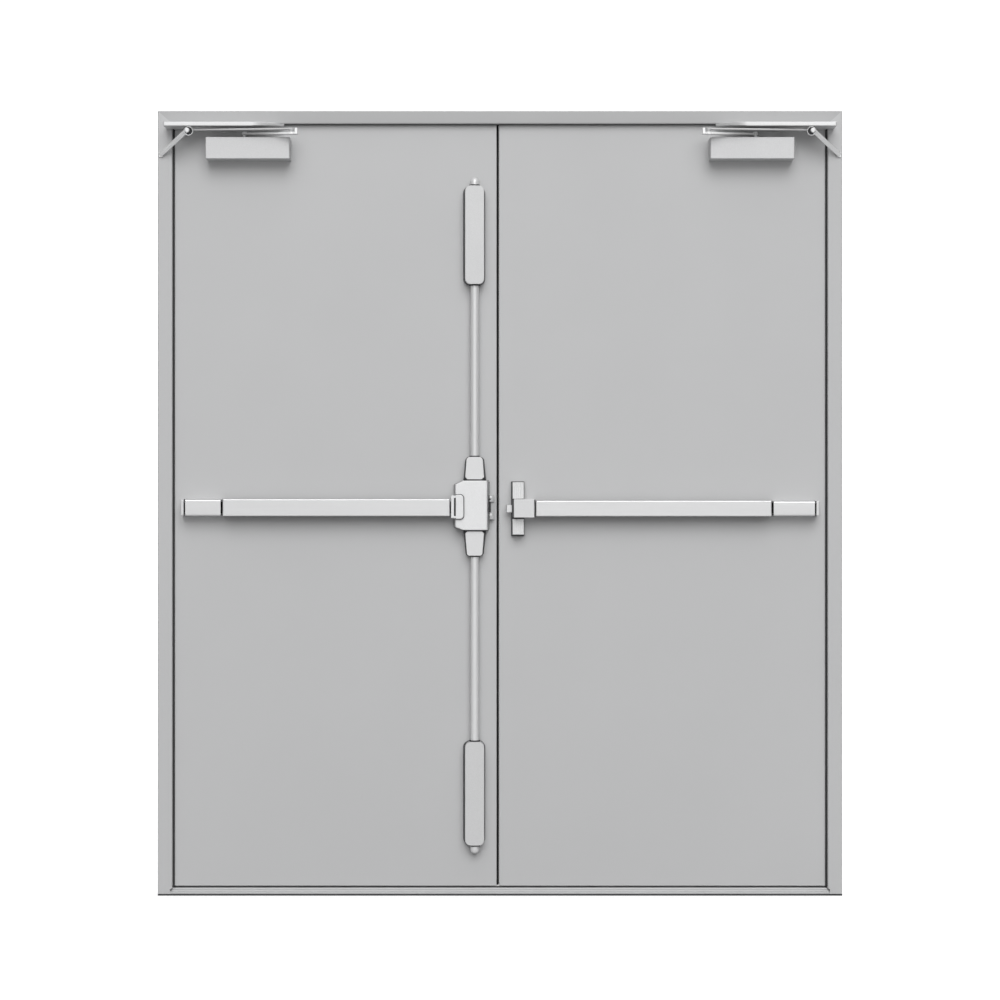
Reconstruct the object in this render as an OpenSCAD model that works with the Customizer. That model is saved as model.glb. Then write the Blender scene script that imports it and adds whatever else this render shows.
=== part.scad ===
// A pair of steel fire doors in a pressed steel frame, with exit devices and parallel-arm closers.
// Sizes are millimetres. X runs along the wall, Y away from the push side and Z up.
// The origin is on the floor under the middle of the sill, halfway through the depth of the frame.

/* [Frame] */
// Overall width of the frame
frame_w = 1919.4; // [1500:0.1:2400]
// Overall height of the frame above the floor
frame_h = 2200.4; // [1900:0.1:2600]
// Width of each jamb face on the push side
jamb_face = 40.7; // [34:0.1:70]
// Height of the head face on the push side
head_face = 36.6; // [32:0.1:70]
// Thickness of the folded sheet of the frame
frame_t = 2; // [1.5:0.1:3]
// Depth of the stop in front of the leaves
stop_d = 14; // [10:0.5:24]
// Height of the stop beyond the rebate
stop_h = 14; // [10:0.5:18]
// Width of the lips that turn in at the wall side
frame_lip = 14; // [8:0.5:20]
// Radius of the anchor holes in the rebates
anchor_r = 5.5; // [4:0.1:7]
// Height of the lowest anchor holes
anchor_low = 420; // [350:5:500]
// Height of the second anchor holes
anchor_second = 820; // [700:5:900]
// Height of the third anchor holes
anchor_third = 1420; // [1300:5:1500]
// Height of the highest anchor holes
anchor_high = 1820; // [1700:5:1850]

/* [Seal and sill] */
// Width of the seal strip
seal_w = 13.5; // [10:0.1:18]
// Part of the seal that shows past the edge of the stop
seal_show = 5.4; // [3:0.1:8]
// Free space between the seal and the leaf
seal_free = 0.6; // [0.3:0.1:2]
// Height of the sill
sill_h = 20; // [15:0.5:35]
// Height of the front edge of the sill
sill_nose = 5.5; // [3:0.1:12]
// How far the nose of the sill runs in under the stops
sill_notch = 6; // [3:0.1:10]
// Height of the notch in the stops over the sill
notch_rise = 1.5; // [0.5:0.1:4]
// Fall of the sloping corner of the notch
notch_drop = 5; // [3:0.1:8]
// Gap between the sill and the sloping corner
notch_fit = 0.3; // [0.1:0.05:1]
// Number of flutes in the slope of the sill
sill_flutes = 3; // [2:1:5]
// Depth of each flute
flute_depth = 1.2; // [0.5:0.1:2]

/* [Leaves] */
// Thickness of a leaf
leaf_t = 44.5; // [40:0.5:55]
// Thickness of the face sheets
sheet_t = 1.5; // [1:0.1:2.5]
// Gap between a leaf and the rebate
leaf_gap = 5; // [4:0.1:8]
// Gap between a leaf and the back of the stop
stop_gap = 5; // [4:0.1:8]
// How far the pull faces of the leaves stay inside the frame
leaf_setback = 1.5; // [0.5:0.1:5]
// Gap between the leaves at their push faces
meet_gap = 8; // [7:0.1:12]
// Place of the meeting gap along the wall
meet_x = -7.6; // [-40:0.1:40]
// How much the meeting edges slope through the thickness
meet_bevel = 1.2; // [0.5:0.1:2]
// Thickness of the lip of the seal at the meeting edge
lip_t = 4; // [2:0.5:6]
// Distance of that lip in front of the pull face
lip_back = 2.5; // [1:0.5:6]
// Gap between the lip and the edge of the right leaf
lip_free = 0.75; // [0.6:0.05:2]
// Gap under the leaves
under_gap = 5; // [4:0.1:15]
// Flange height of the end channels inside a leaf
channel_h = 32; // [20:1:60]

/* [Hinges] */
// Height of a hinge
hinge_h = 114; // [90:1:150]
// Thickness of the hinge plates
hinge_t = 2.4; // [2:0.1:2.4]
// Width of the hinge plates in the gap
hinge_plate = 38; // [30:0.5:42]
// Radius of the knuckles
knuckle_r = 8; // [7:0.1:9.5]
// Radius of the hinge pins
pin_r = 4; // [3:0.1:5]
// Distance of the hinge pins behind the pull faces
pin_back = 10; // [10:0.1:14]
// Running clearance of the pins
pin_fit = 0.05; // [0.03:0.01:0.1]
// Gap between two knuckles
knuckle_gap = 0.5; // [0.3:0.1:1]
// Distance from the end of a leaf to the nearest hinge
hinge_end = 180; // [130:1:300]

/* [Closers] */
// Length of a closer body
closer_l = 233.5; // [200:0.5:300]
// Height of a closer body
closer_h = 61.3; // [50:0.1:80]
// Distance of a closer body in front of the leaf
closer_d = 60; // [54:0.5:75]
// Radius of the upright front corners of a closer body
closer_r = 9; // [4:0.5:14]
// Distance from the pin line to the middle of a closer body
closer_x = 227.1; // [200:0.1:260]
// Height of the middle of a closer body below the top of the leaf
closer_drop = 82; // [70:0.1:140]
// Distance from the pin line to the closer spindle
spindle_x = 215.5; // [190:0.1:250]
// Radius of the closer spindle
spindle_r = 7; // [5:0.1:9]
// Distance of the spindle in front of the leaf
spindle_y = 30.5; // [26:0.1:36]
// Depth of the spindle in the closer body
spindle_in = 24; // [12:0.5:40]
// Distance from the pin line to the elbow with the leaf shut
elbow_x = 350.5; // [320:0.1:380]
// Distance of the elbow in front of the frame
elbow_y = 66.5; // [50:0.1:90]
// Radius of the elbow end of the main arm
elbow_r = 15; // [12:0.1:18]
// Radius of the elbow pin
elbow_pin_r = 7; // [5:0.1:9]
// Thickness of the turned-up end of the main arm
hook_t = 4.4; // [3:0.1:6]
// Width of the turned-up end of the main arm
hook_w = 14; // [8:0.5:20]
// Width of the main arm
arm_w = 22; // [16:0.5:28]
// Thickness of the main arm
arm_t = 5.5; // [4:0.1:7]
// Gap between the closer body and the main arm
arm_gap = 3.5; // [3:0.1:8]
// How far the main arm drops from the spindle to the elbow
arm_drop = 6; // [2:0.1:8]
// Width of the forearm
forearm_w = 18; // [14:0.5:24]
// Thickness of the forearm
forearm_t = 4.6; // [4:0.1:6]
// Free height between the two arms at the elbow
arm_free = 7.5; // [6:0.1:10]
// Distance from the pin line to the pivot on the bracket
pivot_x = 58.5; // [45:0.1:70]
// Distance of that pivot in front of the frame
pivot_y = 41.5; // [35:0.1:50]
// Radius of the pivot pin on the bracket
pivot_r = 5; // [4:0.1:6]
// Radius of the ring at the end of the forearm
ring_r = 11; // [9:0.1:12]

/* [Closer brackets] */
// Thickness of the bracket plate
bracket_t = 10; // [8:0.1:12]
// Drop of the top of the bracket plate below the head
bracket_drop = 4.8; // [3:0.1:6]
// Reach of the bracket plate in front of the frame
bracket_out = 69; // [60:0.1:90]
// Length of the bracket plate past the pin line towards the meeting edge
bracket_in = 337; // [320:1:380]
// Overhang of the bracket plate past the pin line over the jamb
bracket_over = 5.5; // [3:0.1:15]
// Length of the part of the front edge that curves back
bracket_bow = 98; // [80:1:130]
// Radius of the round eye that holds the stay
eye_r = 12; // [10:0.1:14]
// Thickness of the eye
eye_t = 5; // [4:0.1:7]
// Width of the stay bar
stay_w = 13; // [9:0.1:15]
// Thickness of the stay bar
stay_t = 5; // [4:0.1:7]
// Thickness of the foot of the stay
foot_t = 4; // [3:0.1:6]
// Height of the foot of the stay on the jamb
foot_l = 14; // [10:0.5:40]
// Height of the foot of the stay below the eye
stay_fall = 60; // [40:0.5:90]

/* [Exit devices] */
// Height of the middle line of the push bars
bar_z = 1088; // [900:0.5:1200]
// Height of the push bars
bar_h = 48; // [40:0.5:60]
// Distance of the push bars in front of the leaf
bar_d = 60; // [52:0.5:75]
// Height of the right push bar
right_bar_h = 44.5; // [40:0.5:60]
// Height of the right rail cover
right_cover_h = 42.3; // [38:0.1:56]
// Height of the rail behind the right push bar
right_rail_h = 29.5; // [25:0.5:33]
// Distance of the right push bar below the left one
right_down = 1.4; // [0:0.1:5]
// Wall of the push bars
bar_t = 2.5; // [2:0.1:4]
// Depth of the flanges of the push bars
bar_flange = 34; // [25:0.5:36]
// Free space between the end walls of a pushed bar and its rail
bar_free = 5; // [5:0.1:9]
// Travel of the push bars
bar_travel = 15; // [10:0.5:16]
// Height of the rail behind a push bar
rail_h = 33; // [25:0.5:33]
// Depth of the rail
rail_d = 30; // [24:0.5:34]
// Wall of the rail
rail_t = 2; // [1.5:0.1:3]
// Radius of the guide pins of the push bars
guide_r = 4; // [3:0.1:5]
// Running clearance of the guide pins
guide_fit = 0.1; // [0.05:0.01:0.2]
// Side of the square guide blocks in the rail
guide_block = 20; // [14:0.5:26]
// Distance of a guide block from the end of the push bar
guide_inset = 70; // [40:1:120]
// Distance of the rail covers in front of the leaf
cover_d = 52; // [46:0.5:60]
// Height of the rail covers
cover_h = 46.7; // [40:0.1:56]
// Wall of the rail covers
cover_t = 2.5; // [2:0.1:4]
// Gap between a push bar and its rail cover
bar_gap = 6; // [5:0.1:9]
// Gap between a push bar and the clip or head case
bar_end_gap = 5; // [5:0.1:9]
// Thickness of the end caps
cap_t = 9.5; // [6:0.1:14]
// Groove between a rail cover and its end cap
cap_groove = 3.3; // [2:0.1:5]
// Length of the plug of an end cap inside the rail cover
cap_plug = 10; // [6:0.5:20]
// Distance from the leaf edge to the end caps
cap_inset = 36.3; // [25:0.1:60]
// Length of the left rail cover
left_cover_l = 98.9; // [60:0.1:160]
// Length of the right rail cover
right_cover_l = 114.8; // [60:0.1:160]

/* [Left centre case] */
// Width of the clip that holds the left bar to its case
clip_w = 35; // [25:0.1:45]
// Height of the clip
clip_h = 67; // [56:0.1:80]
// Distance of the clip in front of the case
clip_over = 9; // [6:0.1:14]
// Corner radius of the clip
clip_r = 7; // [3:0.1:10]
// How far the clip laps over the case
clip_lap = 22.8; // [15:0.1:30]
// Width of the front of the left centre case
case_w = 88.5; // [75:0.1:110]
// Height of the left centre case
case_h = 138.4; // [120:0.1:160]
// Distance of the case in front of the leaf
case_d = 50; // [46:0.5:56]
// Distance from the meeting edge to the front of the left centre case
case_edge = 24.4; // [20:0.1:40]
// Radius of the corners of the case
case_r = 3; // [1:0.1:6]
// How much wider the case is at its foot on the meeting side
case_draft = 5.6; // [2:0.1:10]
// Distance from the middle line of the bars up to the middle of the case
case_up = 6; // [-10:0.1:15]
// Width of the corner cuts of the case
case_cut_x = 22; // [10:0.1:30]
// Height of the upper corner cut of the case
case_cut_top = 11; // [5:0.1:16]
// Height of the lower corner cut of the case
case_cut_low = 8.5; // [5:0.1:16]
// Radius of the upright rods
rod_r = 11; // [8:0.05:11.5]
// Distance of the rods in front of the leaf
rod_y = 22; // [20:0.5:28]
// Distance from the meeting edge to the rods
rod_x = 59.4; // [50:0.1:70]
// Running clearance of the rods in their covers
rod_fit = 0.5; // [0.3:0.05:1]
// Travel of the rods
rod_travel = 12; // [8:0.5:14]
// Depth of the rod ends inside the case
rod_in = 12; // [8:0.5:20]
// Gap between the case and the tapered covers
taper_gap = 3.8; // [2:0.1:6]
// Height of the upper tapered cover
taper_up_h = 63.6; // [50:0.1:80]
// Height of the lower tapered cover
taper_low_h = 68.6; // [50:0.1:80]
// Width of the tapered covers at the case
taper_wide = 59.5; // [50:0.1:70]
// Width of the upper tapered cover at its end
taper_up_w = 43.5; // [32:0.1:50]
// Width of the lower tapered cover at its end
taper_low_w = 36.3; // [32:0.1:50]
// Radius of the corners at the ends of the tapered covers
taper_r = 9; // [4:0.5:12]
// Distance of the tapered covers in front of the leaf
taper_d = 40; // [36:0.5:46]

/* [Rod guides] */
// Width of the rod guides
guide_w = 58.6; // [50:0.1:70]
// Distance of the rod guides in front of the leaf
guide_d = 42; // [38:0.5:50]
// Corner radius of the rod guides
guide_corner = 16; // [8:0.5:24]
// Distance of the upper rod guide below the top of the leaf
guide_drop = 183.1; // [120:0.1:260]
// Length of the upper rod guide
guide_up_l = 277.8; // [200:0.1:320]
// Distance of the lower rod guide above the foot of the leaf
guide_lift = 116.8; // [70:0.1:180]
// Length of the lower rod guide
guide_low_l = 291.7; // [200:0.1:320]
// Radius of the bolts at the ends of the rods
tip_r = 12.5; // [11.6:0.1:14]
// Height of the pointed tip over the upper guide
tip_up = 20; // [12:0.5:30]
// Height of the rounded tip under the lower guide
tip_low = 23; // [12:0.5:30]
// Length of the bolts
tip_l = 90; // [60:1:150]

/* [Strike and latch] */
// Width of the strike on the left leaf
strike_w = 16; // [12:0.1:22]
// Height of the strike
strike_h = 70; // [60:0.1:100]
// Distance of the strike in front of the leaf
strike_d = 20; // [14:0.5:30]
// Distance of the strike from the meeting edge
strike_edge = 2; // [0.5:0.1:6]
// Distance from the middle line of the bars down to the middle of the strike
strike_down = -1.2; // [-10:0.1:15]
// Height of the pocket in the strike
strike_slot = 33; // [24:0.5:45]
// Distance from the meeting edge to the right head case
head_edge = 42.1; // [35:0.1:55]
// Width of the right head case
head_w = 57.4; // [50:0.1:70]
// Height of the right head case
head_h = 50.7; // [44:0.1:60]
// Distance of the right head case in front of the leaf
head_d = 63; // [58:0.5:72]
// Wall of the right head case
head_t = 3; // [2:0.1:5]
// Width of the ribbed blocks over and under the head case
block_w = 32; // [24:0.1:40]
// Height of the upper ribbed block
block_up_h = 44.5; // [35:0.1:60]
// Height of the lower ribbed block
block_low_h = 40; // [32:0.1:60]
// Distance of the ribbed blocks in front of the leaf
block_d = 36; // [28:0.5:44]
// Gap between the head case and the upper block
block_gap_up = 1; // [0.5:0.1:6]
// Gap between the head case and the lower block
block_gap_low = 3; // [1:0.1:6]
// How far the blocks stand past the head case
block_over = 3.5; // [1:0.1:6]
// Number of upright ribs on a block
rib_count = 6; // [4:1:9]
// Depth of the grooves between the ribs
rib_depth = 2; // [1:0.1:3]
// Height of the latch bolt
latch_h = 18.5; // [15:0.1:28]
// Thickness of the latch bolt
latch_t = 14; // [10:0.1:18]
// Distance from the middle line of the head case down to the latch bolt
latch_down = 2.5; // [0:0.1:5]
// Reach of the latch bolt past the head case
latch_out = 20.1; // [14:0.1:24]
// Length of the latch bolt inside the head case
latch_in = 32; // [20:0.5:34]
// Distance of the latch bolt in front of the leaf
latch_y = 26; // [20:0.5:34]
// Running clearance of the latch bolt
latch_fit = 0.3; // [0.2:0.05:0.6]
// Travel of the latch bolt
latch_travel = 12; // [8:0.5:14]

/* [Hidden] */
e = 0.01;
frame_d = stop_d + stop_gap + leaf_t + leaf_setback;
y_front = -frame_d / 2;
y_back = frame_d / 2;
y_stop = y_front + stop_d;
y_leaf = y_stop + stop_gap;
y_pull = y_leaf + leaf_t;
x_out = frame_w / 2;
x_stop = x_out - jamb_face;
x_rebate = x_stop + stop_h;
x_leaf = x_rebate - leaf_gap;
x_pin = x_rebate - leaf_gap / 2;
y_pin = y_pull + pin_back;
z_stop = frame_h - head_face;
z_rebate = z_stop + stop_h;
z_top = z_rebate - leaf_gap;
z_low = sill_h + under_gap;
x_meet_left = meet_x - meet_gap / 2;
x_meet_right = meet_x + meet_gap / 2;
hinge_zs = [z_low + hinge_end, (z_low + z_top) / 2 - hinge_h / 2, z_top - hinge_end - hinge_h];
closer_z = z_top - closer_drop;
closer_top = closer_z + closer_h / 2;
spindle_at = y_leaf - spindle_y;
arm_z = closer_top + arm_gap + arm_drop;
arm_low = arm_z - arm_drop;
elbow_at = y_front - elbow_y;
pivot_at = y_front - pivot_y;
forearm_z = arm_low + arm_t + arm_free;
bracket_z = z_stop - bracket_drop - bracket_t;
bracket_at = y_front - bracket_out;
eye_z = bracket_z - eye_r;
left_cap_x = -x_leaf + cap_inset;
left_cover_x = left_cap_x + cap_t + cap_groove;
left_bar_x = left_cover_x + left_cover_l + bar_gap;
case_x = x_meet_left - case_edge - case_w;
left_clip_x = case_x + clip_lap - clip_w;
left_bar_end = left_clip_x - bar_end_gap;
right_cap_x = x_leaf - cap_inset;
right_cover_x = right_cap_x - cap_t - cap_groove;
right_bar_x = right_cover_x - right_cover_l - bar_gap;
head_x = x_meet_right + head_edge;
right_bar_end = head_x + head_w + bar_end_gap;
case_z = bar_z + case_up;
right_z = bar_z - right_down;
latch_z = bar_z - latch_down;
rod_at_x = x_meet_left - rod_x;
rod_at_y = y_leaf - rod_y;
guide_up_z = z_top - guide_drop - guide_up_l;
guide_low_z = z_low + guide_lift;
round_fn = 40;

// Outline of a rectangle with rounded corners, from a corner at the origin
function round_rect(w, h, r, n = 5) = concat(
  [for (i = [0 : n]) [w - r + r * cos(i * 90 / n), h - r + r * sin(i * 90 / n)]],
  [for (i = [0 : n]) [r + r * cos(90 + i * 90 / n), h - r + r * sin(90 + i * 90 / n)]],
  [for (i = [0 : n]) [r + r * cos(180 + i * 90 / n), r + r * sin(180 + i * 90 / n)]],
  [for (i = [0 : n]) [w - r + r * cos(270 + i * 90 / n), r + r * sin(270 + i * 90 / n)]]);

// Points of one corner p between its neighbours a and b, rounded to radius r in n steps
function corner(a, p, b, r, n) = let(
  u = (a - p) / norm(a - p),
  v = (b - p) / norm(b - p),
  half = acos(u * v) / 2,
  c = p + (u + v) / norm(u + v) * r / sin(half),
  s = p + u * r / tan(half) - c,
  t = p + v * r / tan(half) - c,
  from = atan2(s[1], s[0]),
  turn = (atan2(t[1], t[0]) - from + 540) % 360 - 180)
  [for (i = [0 : n]) c + r * [cos(from + turn * i / n), sin(from + turn * i / n)]];

// Outline with each corner rounded to its own radius, in n steps
function rounded(pts, rs, n = 4) = let(m = len(pts))
  [for (i = [0 : m - 1]) each corner(pts[(i + m - 1) % m], pts[i], pts[(i + 1) % m], rs[i], n)];

// Box from one corner to the opposite one
module span(a, b) {
  translate(a)
    cube(b - a);
}

// Outline in X and Z drawn out along Y from y0 to y1
module draw_y(y0, y1) {
  translate([0, y1, 0])
    rotate([90, 0, 0])
      linear_extrude(y1 - y0)
        children();
}

// Outline in Y and Z drawn out along X from x0 to x1
module draw_x(x0, x1) {
  translate([x0, 0, 0])
    rotate([90, 0, 90])
      linear_extrude(x1 - x0)
        children();
}

// Flat bar between two points, with its width w level, or upright where roll is 90
module bar_between(a, b, w, t, roll = 0) {
  d = b - a;
  l = norm(d);
  translate(a)
    rotate([0, 0, atan2(d[1], d[0])])
      rotate([0, -asin(d[2] / l), 0])
        rotate([roll, 0, 0])
          translate([0, -w / 2, -t / 2])
            cube([l, w, t]);
}

// Folded frame section: distance in from the outer edge, then depth from the push side
module frame_section(face) {
  web = face - stop_h;
  difference() {
    polygon([[0, 0], [face, 0], [face, stop_d], [web, stop_d], [web, frame_d], [0, frame_d]]);
    polygon([[frame_t, frame_t], [face - frame_t, frame_t], [face - frame_t, stop_d - frame_t],
      [web - frame_t, stop_d - frame_t], [web - frame_t, frame_d - frame_t],
      [frame_t, frame_d - frame_t]]);
    translate([-1, frame_lip])
      square([frame_t + 1 + e, frame_d - 2 * frame_lip]);
  }
}

module jamb() {
  difference() {
    translate([-x_out, y_front, 0])
      linear_extrude(frame_h)
        frame_section(jamb_face);
    // Mitre at the top corner
    draw_y(y_front - 1, y_back + 1)
      polygon([[-x_stop, z_stop], [-x_stop + 60, z_stop], [-x_stop + 60, frame_h + 60],
        [-x_stop - head_face - 60, frame_h + 60]]);
    // Notch over the end of the sill, with a small slope at its corner
    draw_y(y_front - 1, y_stop + e)
      polygon([[-x_stop + 1, -1], [-x_stop + 1, sill_h + notch_rise], [-x_stop, sill_h + notch_rise],
        [-x_stop - sill_notch, sill_h + notch_rise - notch_drop], [-x_stop - sill_notch, -1]]);
    for (z = [anchor_low, anchor_second, anchor_third, anchor_high])
      translate([-x_rebate - 6, y_leaf + leaf_t / 2, z])
        rotate([0, 90, 0])
          cylinder(r = anchor_r, h = 12, $fn = round_fn);
  }
}

module left_jamb() {
  color("silver")
    jamb();
}

module right_jamb() {
  color("silver")
    mirror([1, 0, 0])
      jamb();
}

module head() {
  color("silver")
    difference() {
      draw_x(-x_out, x_out)
        translate([y_front, frame_h])
          rotate(-90)
            frame_section(head_face);
      for (s = [-1, 1])
        draw_y(y_front - 1, y_back + 1)
          polygon([[s * x_stop, z_stop], [s * (x_stop + head_face + 60), frame_h + 60],
            [s * (x_out + 90), frame_h + 60], [s * (x_out + 90), z_stop - 60], [s * x_stop, z_stop - 60]]);
    }
}

module sill() {
  run = stop_d / sill_flutes;
  rise = (sill_h - sill_nose) / sill_flutes;
  steps = [for (i = [0 : sill_flutes - 1]) each [
    [y_front + run * (i + 0.2), sill_nose + rise * (i + 0.2)],
    [y_front + run * (i + 0.5), sill_nose + rise * (i + 0.5) - flute_depth],
    [y_front + run * (i + 0.8), sill_nose + rise * (i + 0.8)]]];
  color("gray") {
    union() {
      difference() {
        draw_x(-x_stop - sill_notch, x_stop + sill_notch)
          polygon(concat([[y_stop + e, 0], [y_front, 0], [y_front, sill_nose]], steps,
            [[y_stop, sill_h], [y_stop + e, sill_h]]));
        // Sloping corners that meet the notches in the jambs
        for (s = [-1, 1])
          draw_y(y_front - 1, y_stop)
            polygon([[s * x_stop, sill_h + notch_rise - notch_fit], [s * (x_stop + sill_notch + 1), sill_h + 9],
              [s * (x_stop + sill_notch + 1), sill_h + notch_rise - notch_drop - notch_fit],
              [s * (x_stop + sill_notch), sill_h + notch_rise - notch_drop - notch_fit]]);
      }
      draw_x(-x_rebate, x_rebate)
        difference() {
          polygon([[y_stop, 0], [y_stop, sill_h], [y_back - 8, sill_h], [y_back, sill_nose], [y_back, 0]]);
          for (i = [0 : 3])
            translate([y_leaf + 2 + i * 9, sill_h - flute_depth])
              square([3, 3]);
        }
    }
  }
}

module seal() {
  inner = x_stop - seal_show;
  color("dimgray")
    draw_y(y_stop, y_leaf - seal_free)
      difference() {
        translate([-inner - seal_w, z_low])
          square([2 * (inner + seal_w), z_stop - seal_show + seal_w - z_low]);
        translate([-inner, z_low - 1])
          square([2 * inner, z_stop - seal_show - z_low + 1]);
      }
}

// Knuckles of one hinge: even ones turn with the leaf, odd ones stay on the frame
function knuckle_z(i) = i * hinge_h / 5 + knuckle_gap / 2;
knuckle_l = hinge_h / 5 - knuckle_gap;

module hinge_frame_half() {
  span([-x_rebate, y_pull - hinge_plate, 0], [-x_rebate + hinge_t, y_back, hinge_h]);
  for (i = [0, 2, 4])
    translate([0, 0, knuckle_z(i)]) {
      span([-x_rebate, y_back - 1, 0], [-x_rebate + hinge_t, y_pin, knuckle_l]);
      translate([-x_pin, y_pin, 0])
        cylinder(r = knuckle_r, h = knuckle_l, $fn = round_fn);
    }
  translate([-x_pin, y_pin, -2])
    cylinder(r = pin_r, h = hinge_h + 4, $fn = round_fn);
}

module hinge_leaf_half() {
  difference() {
    union() {
      span([-x_leaf - hinge_t, y_pull - hinge_plate, 0], [-x_leaf, y_pull, hinge_h]);
      for (i = [1, 3])
        translate([0, 0, knuckle_z(i)]) {
          span([-x_leaf - hinge_t, y_pull - 1, 0], [-x_leaf, y_pin, knuckle_l]);
          translate([-x_pin, y_pin, 0])
            cylinder(r = knuckle_r, h = knuckle_l, $fn = round_fn);
        }
    }
    translate([-x_pin, y_pin, -3])
      cylinder(r = pin_r + pin_fit, h = hinge_h + 6, $fn = round_fn);
  }
}

module left_hinge_frame_halves() {
  color("lightgray")
    for (z = hinge_zs)
      translate([0, 0, z])
        hinge_frame_half();
}

module right_hinge_frame_halves() {
  color("lightgray")
    mirror([1, 0, 0])
      for (z = hinge_zs)
        translate([0, 0, z])
          hinge_frame_half();
}

module left_hinge_leaf_halves() {
  color("lightgray")
    for (z = hinge_zs)
      translate([0, 0, z])
        hinge_leaf_half();
}

module right_hinge_leaf_halves() {
  color("lightgray")
    mirror([1, 0, 0])
      for (z = hinge_zs)
        translate([0, 0, z])
          hinge_leaf_half();
}

// Plan of a leaf from its hinge edge at zero to its bevelled meeting edge, shrunk by s all round
module leaf_plan(w, s = 0) {
  polygon([[s, s], [w - s, s], [w + meet_bevel - s, leaf_t - s], [s, leaf_t - s]]);
}

module leaf_sheets(w) {
  translate([0, y_leaf, z_low])
    linear_extrude(z_top - z_low)
      difference() {
        leaf_plan(w);
        leaf_plan(w, sheet_t);
      }
}

module leaf_channels(w) {
  for (z = [z_low, z_top - channel_h])
    difference() {
      translate([0, y_leaf, z])
        linear_extrude(channel_h)
          leaf_plan(w, sheet_t);
      translate([0, y_leaf, z + (z == z_low ? sheet_t : -1)])
        linear_extrude(channel_h - sheet_t + 1)
          leaf_plan(w, 2 * sheet_t);
    }
}

module leaf_core(w) {
  translate([0, y_leaf, z_low + channel_h])
    linear_extrude(z_top - z_low - 2 * channel_h)
      leaf_plan(w, sheet_t);
}

module left_leaf_sheets() {
  color("gainsboro")
    translate([-x_leaf, 0, 0])
      leaf_sheets(x_leaf + x_meet_left);
}

module left_leaf_channels() {
  color("gray")
    translate([-x_leaf, 0, 0])
      leaf_channels(x_leaf + x_meet_left);
}

module left_leaf_core() {
  color("tan")
    translate([-x_leaf, 0, 0])
      leaf_core(x_leaf + x_meet_left);
}

// Lip on the left leaf that nearly fills the meeting gap
module meeting_seal() {
  back = y_pull - lip_back;
  slope = meet_bevel / leaf_t;
  color("dimgray")
    translate([0, 0, z_low])
      linear_extrude(z_top - z_low)
        polygon([[x_meet_left + slope * (back - lip_t - y_leaf), back - lip_t],
          [x_meet_right - meet_bevel - lip_free, back - lip_t], [x_meet_right - meet_bevel - lip_free, back],
          [x_meet_left + slope * (back - y_leaf), back]]);
}

module right_leaf_sheets() {
  color("gainsboro")
    translate([x_leaf, 0, 0])
      mirror([1, 0, 0])
        leaf_sheets(x_leaf - x_meet_right);
}

module right_leaf_channels() {
  color("gray")
    translate([x_leaf, 0, 0])
      mirror([1, 0, 0])
        leaf_channels(x_leaf - x_meet_right);
}

module right_leaf_core() {
  color("tan")
    translate([x_leaf, 0, 0])
      mirror([1, 0, 0])
        leaf_core(x_leaf - x_meet_right);
}

module closer_body() {
  x0 = -x_pin + closer_x - closer_l / 2;
  difference() {
    union() {
      translate([x0, y_leaf - closer_d, closer_z - closer_h / 2])
        linear_extrude(closer_h)
          polygon(concat([[0, closer_d]],
            [for (i = [0 : 5]) [closer_r - closer_r * cos(i * 18), closer_r - closer_r * sin(i * 18)]],
            [for (i = [0 : 5]) [closer_l - closer_r + closer_r * sin(i * 18), closer_r - closer_r * cos(i * 18)]],
            [[closer_l, closer_d]]));
      translate([-x_pin + spindle_x, spindle_at, closer_top - 1])
        cylinder(r = spindle_r + 6, h = 2.5, $fn = round_fn);
    }
    translate([-x_pin + spindle_x, spindle_at, closer_top - spindle_in])
      cylinder(r = spindle_r + pin_fit, h = spindle_in + 4, $fn = round_fn);
  }
}

module closer_arm() {
  s = [-x_pin + spindle_x, spindle_at, arm_z + arm_t / 2];
  b = [-x_pin + elbow_x, elbow_at, arm_low + arm_t / 2];
  translate([s[0], s[1], closer_top - spindle_in + 1])
    cylinder(r = spindle_r, h = arm_z - closer_top + spindle_in, $fn = round_fn);
  translate([s[0], s[1], arm_z - 2])
    cylinder(r = arm_w / 2 + 3, h = arm_t + 5, $fn = round_fn);
  translate([b[0], b[1], arm_low])
    cylinder(r = elbow_r, h = arm_t, $fn = round_fn);
  bar_between(s, b, arm_w, arm_t);
  // End of the arm that turns up past the end of the forearm
  u = [b[0] - s[0], b[1] - s[1]] / norm([b[0] - s[0], b[1] - s[1]]);
  translate([b[0], b[1], arm_low])
    rotate([0, 0, atan2(u[1], u[0])]) {
      translate([elbow_r / 2, -hook_w / 2, 0.3])
        cube([elbow_r / 2 + hook_t, hook_w, arm_t - 0.6]);
      translate([elbow_r + 0.8, -hook_w / 2, 0.3])
        cube([hook_t - 0.8, hook_w, arm_t + arm_free + forearm_t - 0.3]);
    }
}

module closer_forearm() {
  p = [-x_pin + pivot_x, pivot_at, forearm_z + forearm_t / 2];
  b = [-x_pin + elbow_x, elbow_at, forearm_z + forearm_t / 2];
  difference() {
    union() {
      bar_between(p, b, forearm_w, forearm_t);
      translate([p[0], p[1], forearm_z])
        cylinder(r = ring_r, h = forearm_t, $fn = round_fn);
      translate([b[0], b[1], forearm_z])
        cylinder(r = elbow_r - 2, h = forearm_t, $fn = round_fn);
      translate([b[0], b[1], arm_low + arm_t + 1.5])
        cylinder(r = elbow_pin_r, h = arm_free + forearm_t, $fn = round_fn);
    }
    translate([p[0], p[1], forearm_z - 1])
      cylinder(r = pivot_r + pin_fit, h = forearm_t + 2, $fn = round_fn);
  }
}

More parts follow.
